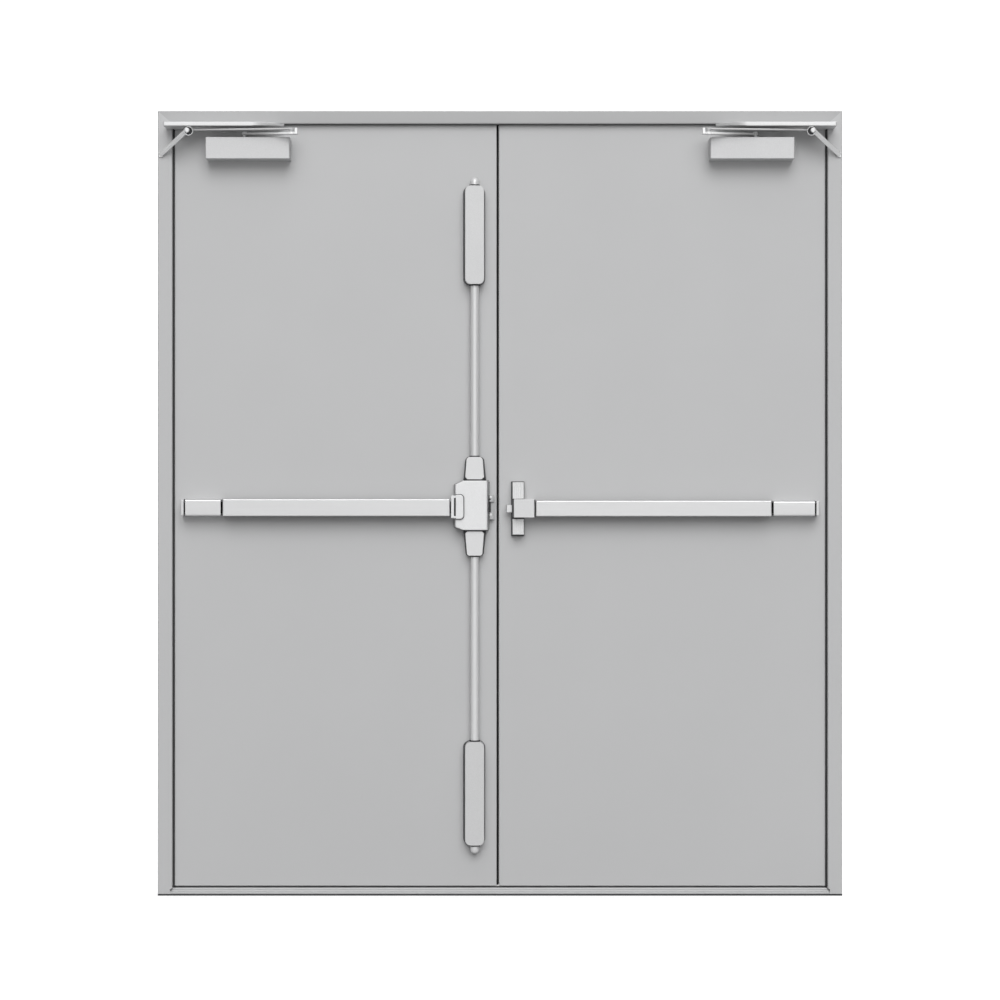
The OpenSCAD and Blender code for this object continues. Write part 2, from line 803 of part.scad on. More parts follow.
module closer_bracket() {
  x0 = -x_pin - bracket_over;
  x1 = -x_pin + bracket_in;
  bow = bracket_at - y_front;
  p = [-x_pin + pivot_x, pivot_at];
  foot = [-x_out + stay_w / 2 + 3, y_front - foot_t - 1, eye_z - stay_fall];
  eye = [p[0] + 2, bracket_at + eye_t / 2, eye_z];
  // Plate with a front edge that curves back towards the meeting edge
  translate([0, 0, bracket_z])
    linear_extrude(bracket_t)
      polygon(concat([[x0, y_front - 0.5], [x0, bracket_at + 4], [x0 + 4, bracket_at]],
        [for (i = [0 : 8]) [x1 - bracket_bow * cos(i * 11.25), y_front - 0.5 + bow * (1 - pow(sin(i * 11.25), 2)) * 1]],
        [[x1, y_front + e], [x1, y_stop], [-x_stop + 3, y_stop], [-x_stop + 3, y_front - 0.5]]));
  // Pad that fills up to the underside of the head
  span([-x_stop + 3, y_front, bracket_z + bracket_t - e], [x1, y_stop, z_stop]);
  // Pivot pin with its head under the forearm
  translate([p[0], p[1], forearm_z - 3])
    cylinder(r = pivot_r, h = bracket_z - forearm_z + 3 + e, $fn = round_fn);
  translate([p[0], p[1], forearm_z - 3.5])
    cylinder(r = pivot_r + 3, h = 3, $fn = round_fn);
  // Eye that faces the push side, and the stay down to the jamb
  span([eye[0] - eye_r, bracket_at, eye_z], [eye[0] + eye_r, bracket_at + eye_t, bracket_z + e]);
  draw_y(bracket_at, bracket_at + eye_t)
    translate([eye[0], eye[2]])
      circle(r = eye_r, $fn = round_fn);
  bar_between(eye, foot, stay_w, stay_t, 90);
  span([foot[0] - stay_w / 2, y_front - foot_t, foot[2] - foot_l / 2],
    [foot[0] + stay_w / 2, y_front, foot[2] + foot_l / 2]);
}

module left_closer_body() {
  color("whitesmoke")
    closer_body();
}

module right_closer_body() {
  color("whitesmoke")
    mirror([1, 0, 0])
      closer_body();
}

module left_closer_arm() {
  color("lightsteelblue")
    closer_arm();
}

module right_closer_arm() {
  color("lightsteelblue")
    mirror([1, 0, 0])
      closer_arm();
}

module left_closer_forearm() {
  color("lightblue")
    closer_forearm();
}

module right_closer_forearm() {
  color("lightblue")
    mirror([1, 0, 0])
      closer_forearm();
}

module left_closer_bracket() {
  color("lightgray")
    closer_bracket();
}

module right_closer_bracket() {
  color("lightgray")
    mirror([1, 0, 0])
      closer_bracket();
}

// Rail from x0 to x1 with bored blocks for the guide pins of the push bar
module rail(x0, x1, guides, z, h) {
  difference() {
    union() {
      difference() {
        span([x0, y_leaf - rail_d, z - h / 2], [x1, y_leaf, z + h / 2]);
        span([x0 - 1, y_leaf - rail_d - 1, z - h / 2 + rail_t],
          [x1 + 1, y_leaf - rail_t, z + h / 2 - rail_t]);
      }
      for (x = guides)
        span([x - guide_block / 2, y_leaf - rail_d + 2, z - h / 2 + rail_t - e],
          [x + guide_block / 2, y_leaf - rail_t + e, z + h / 2 - rail_t + e]);
    }
    for (x = guides)
      translate([x, y_leaf + 1, z])
        rotate([90, 0, 0])
          cylinder(r = guide_r + guide_fit, h = rail_d + 2, $fn = round_fn);
  }
}

// Push bar: a channel with its flanges towards the leaf and two guide pins
module push_bar(x0, x1, guides, z, h) {
  y0 = y_leaf - bar_d;
  difference() {
    draw_x(x0, x1)
      polygon([[y0 + bar_flange, z - h / 2], [y0 + 2, z - h / 2],
        [y0, z - h / 2 + 2], [y0, z + h / 2 - 2],
        [y0 + 2, z + h / 2], [y0 + bar_flange, z + h / 2]]);
    span([x0 + bar_t, y0 + bar_t, z - h / 2 + bar_t],
      [x1 - bar_t, y0 + bar_flange + 1, z + h / 2 - bar_t]);
    // The end walls stay in front of the rail through the whole travel
    span([x0 - 1, y_leaf - rail_d - bar_travel - bar_free, z - h / 2 + bar_t],
      [x1 + 1, y0 + bar_flange + 1, z + h / 2 - bar_t]);
  }
  for (x = guides)
    translate([x, y_leaf - bar_travel - 4, z])
      rotate([90, 0, 0])
        cylinder(r = guide_r, h = bar_d - bar_travel - 4 - bar_t + e, $fn = round_fn);
}

// Rail cover: a cap over the end of the rail, open towards the leaf
module rail_cover(x0, x1, z, h) {
  y0 = y_leaf - cover_d;
  difference() {
    draw_x(x0, x1)
      polygon([[y_leaf, z - h / 2], [y0 + 2, z - h / 2],
        [y0, z - h / 2 + 2], [y0, z + h / 2 - 2],
        [y0 + 2, z + h / 2], [y_leaf, z + h / 2]]);
    span([x0 - 1, y0 + cover_t, z - h / 2 + cover_t],
      [x1 + 1, y_leaf + 1, z + h / 2 - cover_t]);
  }
}

// End cap with a plug that fills the open end of the rail cover
module end_cap(x0, s, z, h) {
  y0 = y_leaf - cover_d;
  a = min(x0, x0 + s * cap_t);
  b = max(x0, x0 + s * cap_t);
  c = min(x0 + s * (cap_t - e), x0 + s * (cap_t + cap_groove + cap_plug));
  d = max(x0 + s * (cap_t - e), x0 + s * (cap_t + cap_groove + cap_plug));
  draw_x(a, b)
    polygon([[y_leaf, z - h / 2], [y0 + 4, z - h / 2],
      [y0, z - h / 2 + 4], [y0, z + h / 2 - 4],
      [y0 + 4, z + h / 2], [y_leaf, z + h / 2]]);
  span([c, y0 + cover_t, z - h / 2 + cover_t], [d, y_leaf, z + h / 2 - cover_t]);
}

left_guides = [left_bar_x + guide_inset, left_bar_end - guide_inset];
right_guides = [right_bar_x - guide_inset, right_bar_end + guide_inset];

module left_rail() {
  color("gray")
    rail(left_cover_x + cap_plug + 1, left_clip_x, left_guides, bar_z, rail_h);
}

module left_rail_cover() {
  color("gainsboro")
    rail_cover(left_cover_x, left_cover_x + left_cover_l, bar_z, cover_h);
}

module left_end_cap() {
  color("gainsboro")
    end_cap(left_cap_x, 1, bar_z, cover_h);
}

module left_push_bar() {
  color("white")
    push_bar(left_bar_x, left_bar_end, left_guides, bar_z, bar_h);
}

// Clip: closes the inner end of the rail and laps over the front of the case
module left_case_clip() {
  color("gainsboro")
    difference() {
      draw_y(y_leaf - case_d - clip_over, y_leaf)
        translate([left_clip_x, bar_z - clip_h / 2 + 1.8])
          polygon(round_rect(clip_w, clip_h, clip_r));
      span([case_x, y_leaf - case_d, bar_z - clip_h], [case_x + clip_w, y_leaf + 1, bar_z + clip_h]);
    }
}

module left_centre_case() {
  z0 = case_z - case_h / 2;
  z1 = case_z + case_h / 2;
  x1 = case_x + case_w;
  color("gainsboro")
    difference() {
      intersection() {
        draw_y(y_leaf - case_d, y_leaf)
          polygon(rounded([[case_x, z0 + case_cut_low], [case_x + case_cut_x, z0], [x1 + case_draft, z0],
            [x1 + case_draft, z1], [case_x + case_cut_x, z1], [case_x, z1 - case_cut_top]],
            [case_r, case_r, case_r, case_r, case_r, case_r]));
        translate([0, 0, z0 - 1])
          linear_extrude(case_h + 2)
            polygon([[case_x, y_leaf], [case_x, y_leaf - case_d], [x1 - 3, y_leaf - case_d],
              [x1, y_leaf - case_d + 3], [x1 + case_draft, y_leaf]]);
      }
      for (z = [z0 - 1, z1 - rod_in - rod_travel - 3])
        translate([rod_at_x, rod_at_y, z])
          cylinder(r = rod_r + rod_fit, h = rod_in + rod_travel + 4, $fn = round_fn);
    }
}

// Tapered cover over a rod where it leaves the case
module taper_cover(z0, z1, w0, w1) {
  difference() {
    intersection() {
      draw_y(y_leaf - taper_d, y_leaf)
        polygon(rounded([[rod_at_x - w0 / 2, z0], [rod_at_x + w0 / 2, z0],
          [rod_at_x + w1 / 2, z1], [rod_at_x - w1 / 2, z1]], [2, 2, taper_r, taper_r], 5));
      translate([0, 0, min(z0, z1) - 1])
        linear_extrude(abs(z1 - z0) + 2)
          polygon([[rod_at_x - 35, y_leaf], [rod_at_x - 18, y_leaf - taper_d],
            [rod_at_x + 18, y_leaf - taper_d], [rod_at_x + 35, y_leaf]]);
    }
    translate([rod_at_x, rod_at_y, min(z0, z1) - 1])
      cylinder(r = rod_r + rod_fit, h = abs(z1 - z0) + 2, $fn = round_fn);
  }
}

module left_upper_cover() {
  z = case_z + case_h / 2 + taper_gap;
  color("gainsboro")
    taper_cover(z, z + taper_up_h, taper_wide, taper_up_w);
}

module left_lower_cover() {
  z = case_z - case_h / 2 - taper_gap;
  color("gainsboro")
    taper_cover(z, z - taper_low_h, taper_wide, taper_low_w);
}

module left_upper_rod() {
  z1 = guide_up_z + guide_up_l;
  color("white")
    translate([rod_at_x, rod_at_y, 0]) {
      translate([0, 0, case_z + case_h / 2 - rod_in])
        cylinder(r = rod_r, h = z1 - tip_l - case_z - case_h / 2 + rod_in + e, $fn = round_fn);
      translate([0, 0, z1 - tip_l])
        cylinder(r = tip_r, h = tip_l + 1, $fn = round_fn);
      translate([0, 0, z1 + 1 - e])
        cylinder(r1 = tip_r, r2 = 3, h = tip_up - 1, $fn = round_fn);
    }
}

module left_lower_rod() {
  z0 = guide_low_z;
  color("white")
    translate([rod_at_x, rod_at_y, 0]) {
      translate([0, 0, z0 + tip_l - e])
        cylinder(r = rod_r, h = case_z - case_h / 2 + rod_in - z0 - tip_l + e, $fn = round_fn);
      translate([0, 0, z0 - tip_low + tip_r * 0.6])
        cylinder(r = tip_r, h = tip_l + tip_low - tip_r * 0.6, $fn = round_fn);
      translate([0, 0, z0 - tip_low])
        cylinder(r1 = tip_r * 0.55, r2 = tip_r, h = tip_r * 0.6 + e, $fn = round_fn);
    }
}

module rod_guide(z0, l) {
  difference() {
    draw_y(y_leaf - guide_d, y_leaf)
      translate([rod_at_x - guide_w / 2, z0])
        polygon(round_rect(guide_w, l, guide_corner));
    translate([rod_at_x, rod_at_y, z0 - 1])
      cylinder(r = tip_r + rod_fit, h = l + 2, $fn = round_fn);
  }
}

module left_upper_guide() {
  color("gainsboro")
    rod_guide(guide_up_z, guide_up_l);
}

module left_lower_guide() {
  color("gainsboro")
    rod_guide(guide_low_z, guide_low_l);
}

module left_strike() {
  x1 = x_meet_left - strike_edge;
  x0 = x1 - strike_w;
  zc = bar_z - strike_down;
  color("gainsboro")
    difference() {
      draw_y(y_leaf - strike_d, y_leaf)
        translate([x0, zc - strike_h / 2])
          polygon(round_rect(strike_w, strike_h, 3));
      span([x0 + 4, y_leaf - strike_d - 1, zc - strike_slot / 2],
        [x1 + 1, y_leaf - 4, zc + strike_slot / 2]);
    }
}

module right_rail() {
  color("gray")
    rail(head_x + head_w, right_cover_x - cap_plug - 1, right_guides, right_z, right_rail_h);
}

module right_rail_cover() {
  color("gainsboro")
    rail_cover(right_cover_x - right_cover_l, right_cover_x, right_z, right_cover_h);
}

module right_end_cap() {
  color("gainsboro")
    end_cap(right_cap_x, -1, right_z, right_cover_h);
}

module right_push_bar() {
  color("white")
    push_bar(right_bar_end, right_bar_x, right_guides, right_z, right_bar_h);
}

// Head case: open towards the leaf, with a slot for the latch bolt
module right_head_case() {
  x1 = head_x + head_w;
  y0 = y_leaf - head_d;
  yl = y_leaf - latch_y;
  color("gainsboro")
    difference() {
      draw_x(head_x, x1)
        polygon([[y_leaf, bar_z - head_h / 2], [y0 + 5, bar_z - head_h / 2],
          [y0, bar_z - head_h / 2 + 5], [y0, bar_z + head_h / 2 - 5],
          [y0 + 5, bar_z + head_h / 2], [y_leaf, bar_z + head_h / 2]]);
      span([head_x + head_t, y0 + head_t, latch_z - latch_h / 2 - latch_fit],
        [x1 - head_t, y_leaf + 1, latch_z + latch_h / 2 + latch_fit]);
      span([head_x - 1, yl - latch_t / 2 - latch_fit, latch_z - latch_h / 2 - latch_fit],
        [head_x + head_t + 1, yl + latch_t / 2 + latch_fit, latch_z + latch_h / 2 + latch_fit]);
    }
}

module ribbed_block(z0, h) {
  x0 = head_x - block_over;
  pitch = block_w / rib_count;
  difference() {
    span([x0, y_leaf - block_d, z0], [x0 + block_w, y_leaf, z0 + h]);
    for (i = [1 : rib_count - 1])
      span([x0 + i * pitch - pitch / 4, y_leaf - block_d - 1, z0 + 3],
        [x0 + i * pitch + pitch / 4, y_leaf - block_d + rib_depth, z0 + h - 3]);
  }
}

module right_latch_blocks() {
  color("lightgray") {
    ribbed_block(bar_z + head_h / 2 + block_gap_up, block_up_h);
    ribbed_block(bar_z - head_h / 2 - block_gap_low - block_low_h, block_low_h);
  }
}

module right_latch_bolt() {
  x0 = head_x - latch_out;
  yl = y_leaf - latch_y;
  color("white")
    translate([0, 0, latch_z - latch_h / 2])
      linear_extrude(latch_h)
        polygon([[x0 + 4, yl - latch_t / 2], [head_x + latch_in, yl - latch_t / 2],
          [head_x + latch_in, yl + latch_t / 2], [x0 + 8, yl + latch_t / 2], [x0, yl]]);
}

left_jamb();
right_jamb();
head();
sill();
seal();
left_hinge_frame_halves();
right_hinge_frame_halves();
left_hinge_leaf_halves();
right_hinge_leaf_halves();
left_leaf_sheets();
left_leaf_channels();
left_leaf_core();
meeting_seal();
right_leaf_sheets();
right_leaf_channels();
right_leaf_core();
left_closer_body();
left_closer_arm();
left_closer_forearm();
left_closer_bracket();
right_closer_body();
right_closer_arm();
right_closer_forearm();
right_closer_bracket();
left_rail();
left_rail_cover();
left_end_cap();
left_push_bar();
left_case_clip();
left_centre_case();
left_upper_cover();
left_lower_cover();
left_upper_rod();
left_lower_rod();
left_upper_guide();
left_lower_guide();
left_strike();
right_rail();
right_rail_cover();
right_end_cap();
right_push_bar();
right_head_case();
right_latch_blocks();
right_latch_bolt();
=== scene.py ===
# %% [markdown]
# A pair of steel fire doors
# The object is two flush steel leaves in a folded steel frame, seen from the push side.
# It carries two exit devices, two upright rods and two closers with parallel arms.
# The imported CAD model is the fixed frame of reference, so it is loaded first.
# Each looked-at piece is then worked out again with numpy, with the roundings and finishes
# that a CAD solid leaves out, and it rides on the CAD body that carries it.

# %% Load the frame
import math
import bmesh
import bpy
import numpy as np
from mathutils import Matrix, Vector


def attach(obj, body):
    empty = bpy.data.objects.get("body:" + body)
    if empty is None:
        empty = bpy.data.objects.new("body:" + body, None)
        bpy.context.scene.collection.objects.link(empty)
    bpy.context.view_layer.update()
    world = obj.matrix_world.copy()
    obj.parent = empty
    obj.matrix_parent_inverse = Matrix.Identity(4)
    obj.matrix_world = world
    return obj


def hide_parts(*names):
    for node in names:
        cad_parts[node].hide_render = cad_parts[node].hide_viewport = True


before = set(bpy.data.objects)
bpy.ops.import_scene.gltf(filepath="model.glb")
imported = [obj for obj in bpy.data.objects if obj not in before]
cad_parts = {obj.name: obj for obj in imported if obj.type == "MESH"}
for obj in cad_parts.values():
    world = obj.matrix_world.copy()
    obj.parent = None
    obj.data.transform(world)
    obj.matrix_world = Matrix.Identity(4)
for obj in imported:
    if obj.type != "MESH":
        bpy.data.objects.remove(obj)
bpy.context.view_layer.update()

print("CAD nodes:", len(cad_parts))

# %% [markdown]
# Sizes
# The part is drawn in millimetres and Blender works in metres, so every value below is in
# millimetres and one helper turns it into metres when a mesh is made.
# X runs along the wall, Y away from the viewer and Z up, as in the CAD source.

# %% Sizes of the frame and the leaves
FRAME_W, FRAME_H = 1919.4, 2200.4
JAMB_FACE, HEAD_FACE, SHEET = 40.7, 36.6, 2.0
STOP_D, STOP_H, LIP = 14.0, 14.0, 14.0
LEAF_T, LEAF_SHEET, GAP = 44.5, 1.5, 5.0
FRAME_D = STOP_D + GAP + LEAF_T + 1.5
Y_FRONT, Y_BACK = -FRAME_D / 2, FRAME_D / 2
Y_STOP = Y_FRONT + STOP_D
Y_LEAF = Y_STOP + GAP
Y_PULL = Y_LEAF + LEAF_T
X_OUT = FRAME_W / 2
X_STOP = X_OUT - JAMB_FACE
X_REBATE = X_STOP + STOP_H
X_LEAF = X_REBATE - GAP
X_PIN, Y_PIN = X_REBATE - GAP / 2, Y_PULL + 10
SILL_H, SILL_NOSE = 20.0, 5.5
Z_STOP = FRAME_H - HEAD_FACE
Z_TOP, Z_LOW = Z_STOP + STOP_H - GAP, SILL_H + GAP
MEET_LEFT, MEET_RIGHT = -11.6, -3.6
print("leaf height", round(Z_TOP - Z_LOW, 1), "left leaf width", round(X_LEAF + MEET_LEFT, 1))

# %% Sizes of the exit devices and the closers
BAR_Z, BAR_H, BAR_D = 1088.0, 48.0, 60.0
COVER_H, COVER_D = 46.7, 52.0
CAP_L, CAP_R = -X_LEAF + 36.3, X_LEAF - 36.3
COVER_L, COVER_R = CAP_L + 12.8, CAP_R - 12.8
COVER_LEN_L, COVER_LEN_R, COVER_GAP = 98.9, 114.8, 6.0
BAR_L, BAR_R = COVER_L + COVER_LEN_L + COVER_GAP, COVER_R - COVER_LEN_R - COVER_GAP
CASE_W, CASE_H, CASE_D = 88.5, 138.4, 50.0
CASE_X = MEET_LEFT - 24.4 - CASE_W
CASE_Z = BAR_Z + 6
CLIP_W, CLIP_H = 35.0, 67.0
CLIP_X = CASE_X + 22.8 - CLIP_W
HEAD_X = MEET_RIGHT + 42.1
HEAD_W, HEAD_CASE_H, HEAD_D, HEAD_Z = 57.4, 51.2, 63.0, BAR_Z - 2.5
RIGHT_Z, RIGHT_BAR_H, RIGHT_COVER_H = BAR_Z - 2.5, 44.2, 42.3
ROD_X, ROD_Y, ROD_R, TIP_R = MEET_LEFT - 59.4, Y_LEAF - 22, 11.6, 13.0
ROD_BORE, TIP_BORE = ROD_R + 0.5, TIP_R + 0.5
Y_BASE, Y_SHELL = Y_LEAF - 12, Y_LEAF - 11
GUIDE_W, GUIDE_D = 62.0, 42.0
GUIDE_UP = (Z_TOP - 183.1 - 277.8, Z_TOP - 183.1)
GUIDE_LOW = (Z_LOW + 116.8, Z_LOW + 116.8 + 291.7)
CLOSER_W, CLOSER_H, CLOSER_D = 233.5, 61.3, 60.0
CLOSER_Z = Z_TOP - 82
CLOSER_TOP = CLOSER_Z + CLOSER_H / 2
CLOSER_X = -X_PIN + 227.1 - CLOSER_W / 2
SPINDLE = np.array([-X_PIN + 215.5, Y_LEAF - 30.5])
ELBOW = np.array([-X_PIN + 350.5, Y_FRONT - 66.5])
PIVOT = np.array([-X_PIN + 58.5, Y_FRONT - 41.5])
ARM_LOW = CLOSER_TOP + 3.5
ARM_Z, ARM_T = ARM_LOW + 6, 5.5
FORE_Z, FORE_T = ARM_LOW + ARM_T + 7.5, 4.6
BRACKET_Z = Z_STOP - 14.8
BRACKET_Y = Y_FRONT - 69
EYE_Z = BRACKET_Z - 12
SIDES = (("left", 1), ("right", -1))
print("push bars at", BAR_Z, "closers at", round(CLOSER_Z, 1), "elbow", ELBOW)

# %% [markdown]
# The camera
# The photograph is taken straight on, so the camera looks along Y at half the height of
# the picture's frame, 7.5 metres away, which keeps both jambs upright and parallel.

# %% Camera
CAMERA_AT, LENS, SENSOR = (0.0, -7.5325, 1.109), 96.3, 36.0
camera_data = bpy.data.cameras.new("camera")
camera_data.lens = LENS
camera_data.sensor_width = SENSOR
camera = bpy.data.objects.new("camera", camera_data)
camera.location = CAMERA_AT
camera.rotation_euler = (math.pi / 2, 0, 0)
bpy.context.scene.collection.objects.link(camera)
bpy.context.scene.camera = camera
bpy.context.scene.view_settings.view_transform = "Standard"
print("camera looks along Y from", tuple(camera.location))

# %% [markdown]
# Outlines
# Pressed, cast and moulded metal has no sharp corners. A corner can be drawn as an arc that
# touches both sides, and an edge can be rounded by drawing the same outline again, a little
# smaller, nearer the face. Both are formulas on whole arrays of points.

# %% Outline helpers
def arc(a, p, b, r, n):
    """Arc of radius r that touches the lines from p to a and from p to b.
    Its centre lies on the bisector of the corner, r over the sine of half the angle away."""
    u, v = (a - p) / np.linalg.norm(a - p), (b - p) / np.linalg.norm(b - p)
    half = math.acos(float(np.clip(u @ v, -1, 1))) / 2
    c = p + (u + v) / np.linalg.norm(u + v) * r / math.sin(half)
    s, t = p + u * r / math.tan(half) - c, p + v * r / math.tan(half) - c
    start = math.atan2(s[1], s[0])
    turn = (math.atan2(t[1], t[0]) - start + 3 * math.pi) % (2 * math.pi) - math.pi
    w = start + turn * np.linspace(0, 1, n + 1)
    return c + r * np.stack([np.cos(w), np.sin(w)], 1)


def rounded(points, radii, n=5):
    """Closed outline whose corners are arcs, turned so that it runs anticlockwise."""
    p = np.array(points, float)
    r = np.broadcast_to(radii, len(p))
    made = [arc(p[i - 1], p[i], p[(i + 1) % len(p)], r[i], n) if r[i] > 0 else p[i][None]
            for i in range(len(p))]
    o = np.concatenate(made)
    area = np.sum(o[:, 0] * np.roll(o[:, 1], -1) - np.roll(o[:, 0], -1) * o[:, 1])
    return o if area > 0 else o[::-1]


def box_outline(a0, a1, b0, b1, r, n=5):
    """Rectangle from a0 to a1 and from b0 to b1 with corners of radius r."""
    return rounded([[a0, b0], [a1, b0], [a1, b1], [a0, b1]], r, n)


def disc(centre, r, n=40):
    """Circle: centre plus r times the cosine and sine of the angle."""
    w = np.linspace(0, 2 * math.pi, n, endpoint=False)
    return np.array(centre, float) + r * np.stack([np.cos(w), np.sin(w)], 1)


def inset(o, d):
    """Outline moved inwards by d: each point goes along the sum of its two edge normals,
    scaled so that both edges move by exactly d."""
    e = np.roll(o, -1, 0) - o
    e = e / np.linalg.norm(e, axis=1)[:, None]
    out = np.stack([e[:, 1], -e[:, 0]], 1)
    m = out + np.roll(out, 1, 0)
    return o - d * 2 * m / (m * m).sum(1)[:, None]


def bent(points, radii, t, n=4):
    """Section of a bent sheet of thickness t: the middle line with arcs at its bends,
    moved half the thickness to each side along its normals, out on one side and back
    on the other."""
    p = np.array(points, float)
    r = np.broadcast_to(radii, len(p))
    line = np.concatenate([p[:1]] + [arc(p[i - 1], p[i], p[i + 1], r[i], n)
                                     for i in range(1, len(p) - 1)] + [p[-1:]])
    d = np.gradient(line, axis=0)
    d = d / np.linalg.norm(d, axis=1)[:, None]
    m = np.stack([-d[:, 1], d[:, 0]], 1) * t / 2
    return np.concatenate([line + m, (line - m)[::-1]])


print("rounded square has", len(box_outline(0, 1, 0, 1, 0.1)), "points")

# %% [markdown]
# Rings
# A piece is a stack of outlines, ring after ring, with a strip of faces between two rings
# and a lid on the first and the last. The place of an outline says which way it faces:
# to the front, flat in plan, or to the side.

# %% Rings and places
def front(o, y):
    """Outline in X and Z at depth y, where y may differ from point to point."""
    return np.stack([o[:, 0], np.broadcast_to(y, len(o)), o[:, 1]], 1)


def plan(o, z):
    """Outline in X and Y at height z."""
    return np.stack([o[:, 0], o[:, 1], np.broadcast_to(z, len(o))], 1)


def side(o, x):
    """Outline in Y and Z at x."""
    return np.stack([np.broadcast_to(x, len(o)), o[:, 0], o[:, 1]], 1)


def nose(at, r, way, n=4):
    """Levels of a quarter round edge: at angle w the outline stands at plus
    r (1 - cos w) along the way, and is r (1 - sin w) smaller all round."""
    w = np.linspace(0, math.pi / 2, n + 1)
    return list(zip(at + way * r * (1 - np.cos(w)), r * (1 - np.sin(w))))


def stack(o, place, levels):
    """Rings of one outline: level by level, its place and how much smaller it is."""
    return np.stack([place(inset(o, d), at) for at, d in levels])


def skin(rings, wrap=False):
    """Faces of a grid of rings: each point joins its neighbour on its ring and the
    same two on the next ring. Lids close the ends, or the last ring meets the first."""
    k, m = rings.shape[:2]
    i = np.arange(k * m).reshape(k, m)
    j = np.roll(i, -1, 1)
    a, b = (i, j) if wrap else (i[:-1], j[:-1])
    c, d = (np.roll(j, -1, 0), np.roll(i, -1, 0)) if wrap else (j[1:], i[1:])
    faces = np.stack([a, b, c, d], -1).reshape(-1, 4).tolist()
    if not wrap:
        faces += [i[0][::-1].tolist(), i[-1].tolist()]
    return rings.reshape(-1, 3), faces


print("faces of a ring stack of 3 by 8:", len(skin(np.zeros((3, 8, 3)))[1]))

# %% [markdown]
# Pieces
# One helper makes the mesh of a piece from its parts, turns every face outwards, marks
# the edges that stay crisp, and gives the piece its finish, its body and the CAD nodes
# it stands for. A small Bevel modifier then takes the razor edge off, as a deburring
# wheel or a coat of paint does on the real one.

# %% Piece maker
CREASE = math.radians(28)


def mirrored(parts, side_sign):
    """Parts with X multiplied by the sign, so one set of points serves both leaves."""
    flip = np.array([side_sign, 1, 1])
    return [(v * flip, f) for v, f in parts]


def keep_crisp(bm):
    """Two faces meet smoothly where the surface turns by less than the crease angle."""
    for e in bm.edges:
        e.smooth = len(e.link_faces) == 2 and e.calc_face_angle(9) < CREASE


def make(name, parts, body, finish, replaces=(), bevel=0.4):
    """Mesh of all parts in metres, with its finish, body and the nodes it replaces."""
    points, faces, base = [], [], 0
    for v, f in parts:
        points.append(v * 0.001)
        faces += [[q + base for q in face] for face in f]
        base += len(v)
    mesh = bpy.data.meshes.new(name)
    mesh.from_pydata(np.concatenate(points).tolist(), [], faces)
    bm = bmesh.new()
    bm.from_mesh(mesh)
    bmesh.ops.remove_doubles(bm, verts=bm.verts, dist=2e-6)
    bmesh.ops.dissolve_degenerate(bm, edges=bm.edges, dist=1e-6)
    bmesh.ops.recalc_face_normals(bm, faces=bm.faces)
    keep_crisp(bm)
    bm.to_mesh(mesh)
    bm.free()
    mesh.polygons.foreach_set("use_smooth", [True] * len(mesh.polygons))
    piece = bpy.data.objects.new(name, mesh)
    bpy.context.scene.collection.objects.link(piece)
    mesh.materials.append(finish)
    if bevel:
        soft = piece.modifiers.new("deburred", "BEVEL")
        soft.width = bevel * 0.001
        soft.segments = 2
        soft.limit_method = "ANGLE"
        soft.angle_limit = CREASE
        soft.use_clamp_overlap = True
        soft.harden_normals = True
    even = piece.modifiers.new("flat faces stay even", "WEIGHTED_NORMAL")
    even.keep_sharp = True
    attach(piece, body)
    if replaces:
        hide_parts(*replaces)
    print(name, "faces", len(mesh.polygons), "on", body)
    return piece


def drill(piece, parts):
    """Takes the parts out of the piece, as a drill or a saw does."""
    cutter = bpy.data.objects.new("cutter", bpy.data.meshes.new("cutter"))
    points = np.concatenate([v for v, f in parts]) * 0.001
    starts = np.cumsum([0] + [len(v) for v, f in parts])
    cutter.data.from_pydata(points.tolist(), [],
                            [[q + s for q in face] for (v, f), s in zip(parts, starts) for face in f])
    bm = bmesh.new()
    bm.from_mesh(cutter.data)
    bmesh.ops.recalc_face_normals(bm, faces=bm.faces)
    bm.to_mesh(cutter.data)
    bm.free()
    bpy.context.scene.collection.objects.link(cutter)
    kept = list(piece.modifiers)
    for m in kept:
        m.show_viewport = False
    cut = piece.modifiers.new("cut", "BOOLEAN")
    cut.operation, cut.object, cut.solver = "DIFFERENCE", cutter, "EXACT"
    graph = bpy.context.evaluated_depsgraph_get()
    made = bpy.data.meshes.new_from_object(piece.evaluated_get(graph))
    piece.modifiers.remove(cut)
    for m in kept:
        m.show_viewport = True
    piece.data = made
    bm = bmesh.new()
    bm.from_mesh(made)
    keep_crisp(bm)
    bm.to_mesh(made)
    bm.free()
    bpy.data.objects.remove(cutter)
    return piece


print("piece maker ready")

# %% [markdown]
# The finishes
# The doors and the frame have a satin grey paint that was sprayed and baked; the head has a
# darker copy of it, which is painted shade. From near by such paint has a faint orange peel,
# a few millimetres from hill to hill, and large soft clouds in its tone and gloss. The cases
# and covers have a silver lacquer with fine flakes, and the bars, arms and rods are satin
# steel with a grain along their length; the main arm's near-white colour is a painted sheen.
# The covers of the rods stand on black bases that are painted shade, drawn as a dark line
# round each of them.
# Each of these effects is a node group with named inputs, built once and used by several
# materials, and each group puts out only masks, tones and normals.

# %% Node helpers
def group(name, inputs, outputs):
    """Empty node group with the named number inputs and the named outputs."""
    made = bpy.data.node_groups.new(name, "ShaderNodeTree")
    made.interface.new_socket(name="Place", in_out="INPUT", socket_type="NodeSocketVector")
    for label, value in inputs:
        s = made.interface.new_socket(name=label, in_out="INPUT", socket_type="NodeSocketFloat")
        s.default_value = value
    for label, kind in outputs:
        made.interface.new_socket(name=label, in_out="OUTPUT", socket_type=kind)
    return made, made.nodes.new("NodeGroupInput"), made.nodes.new("NodeGroupOutput")


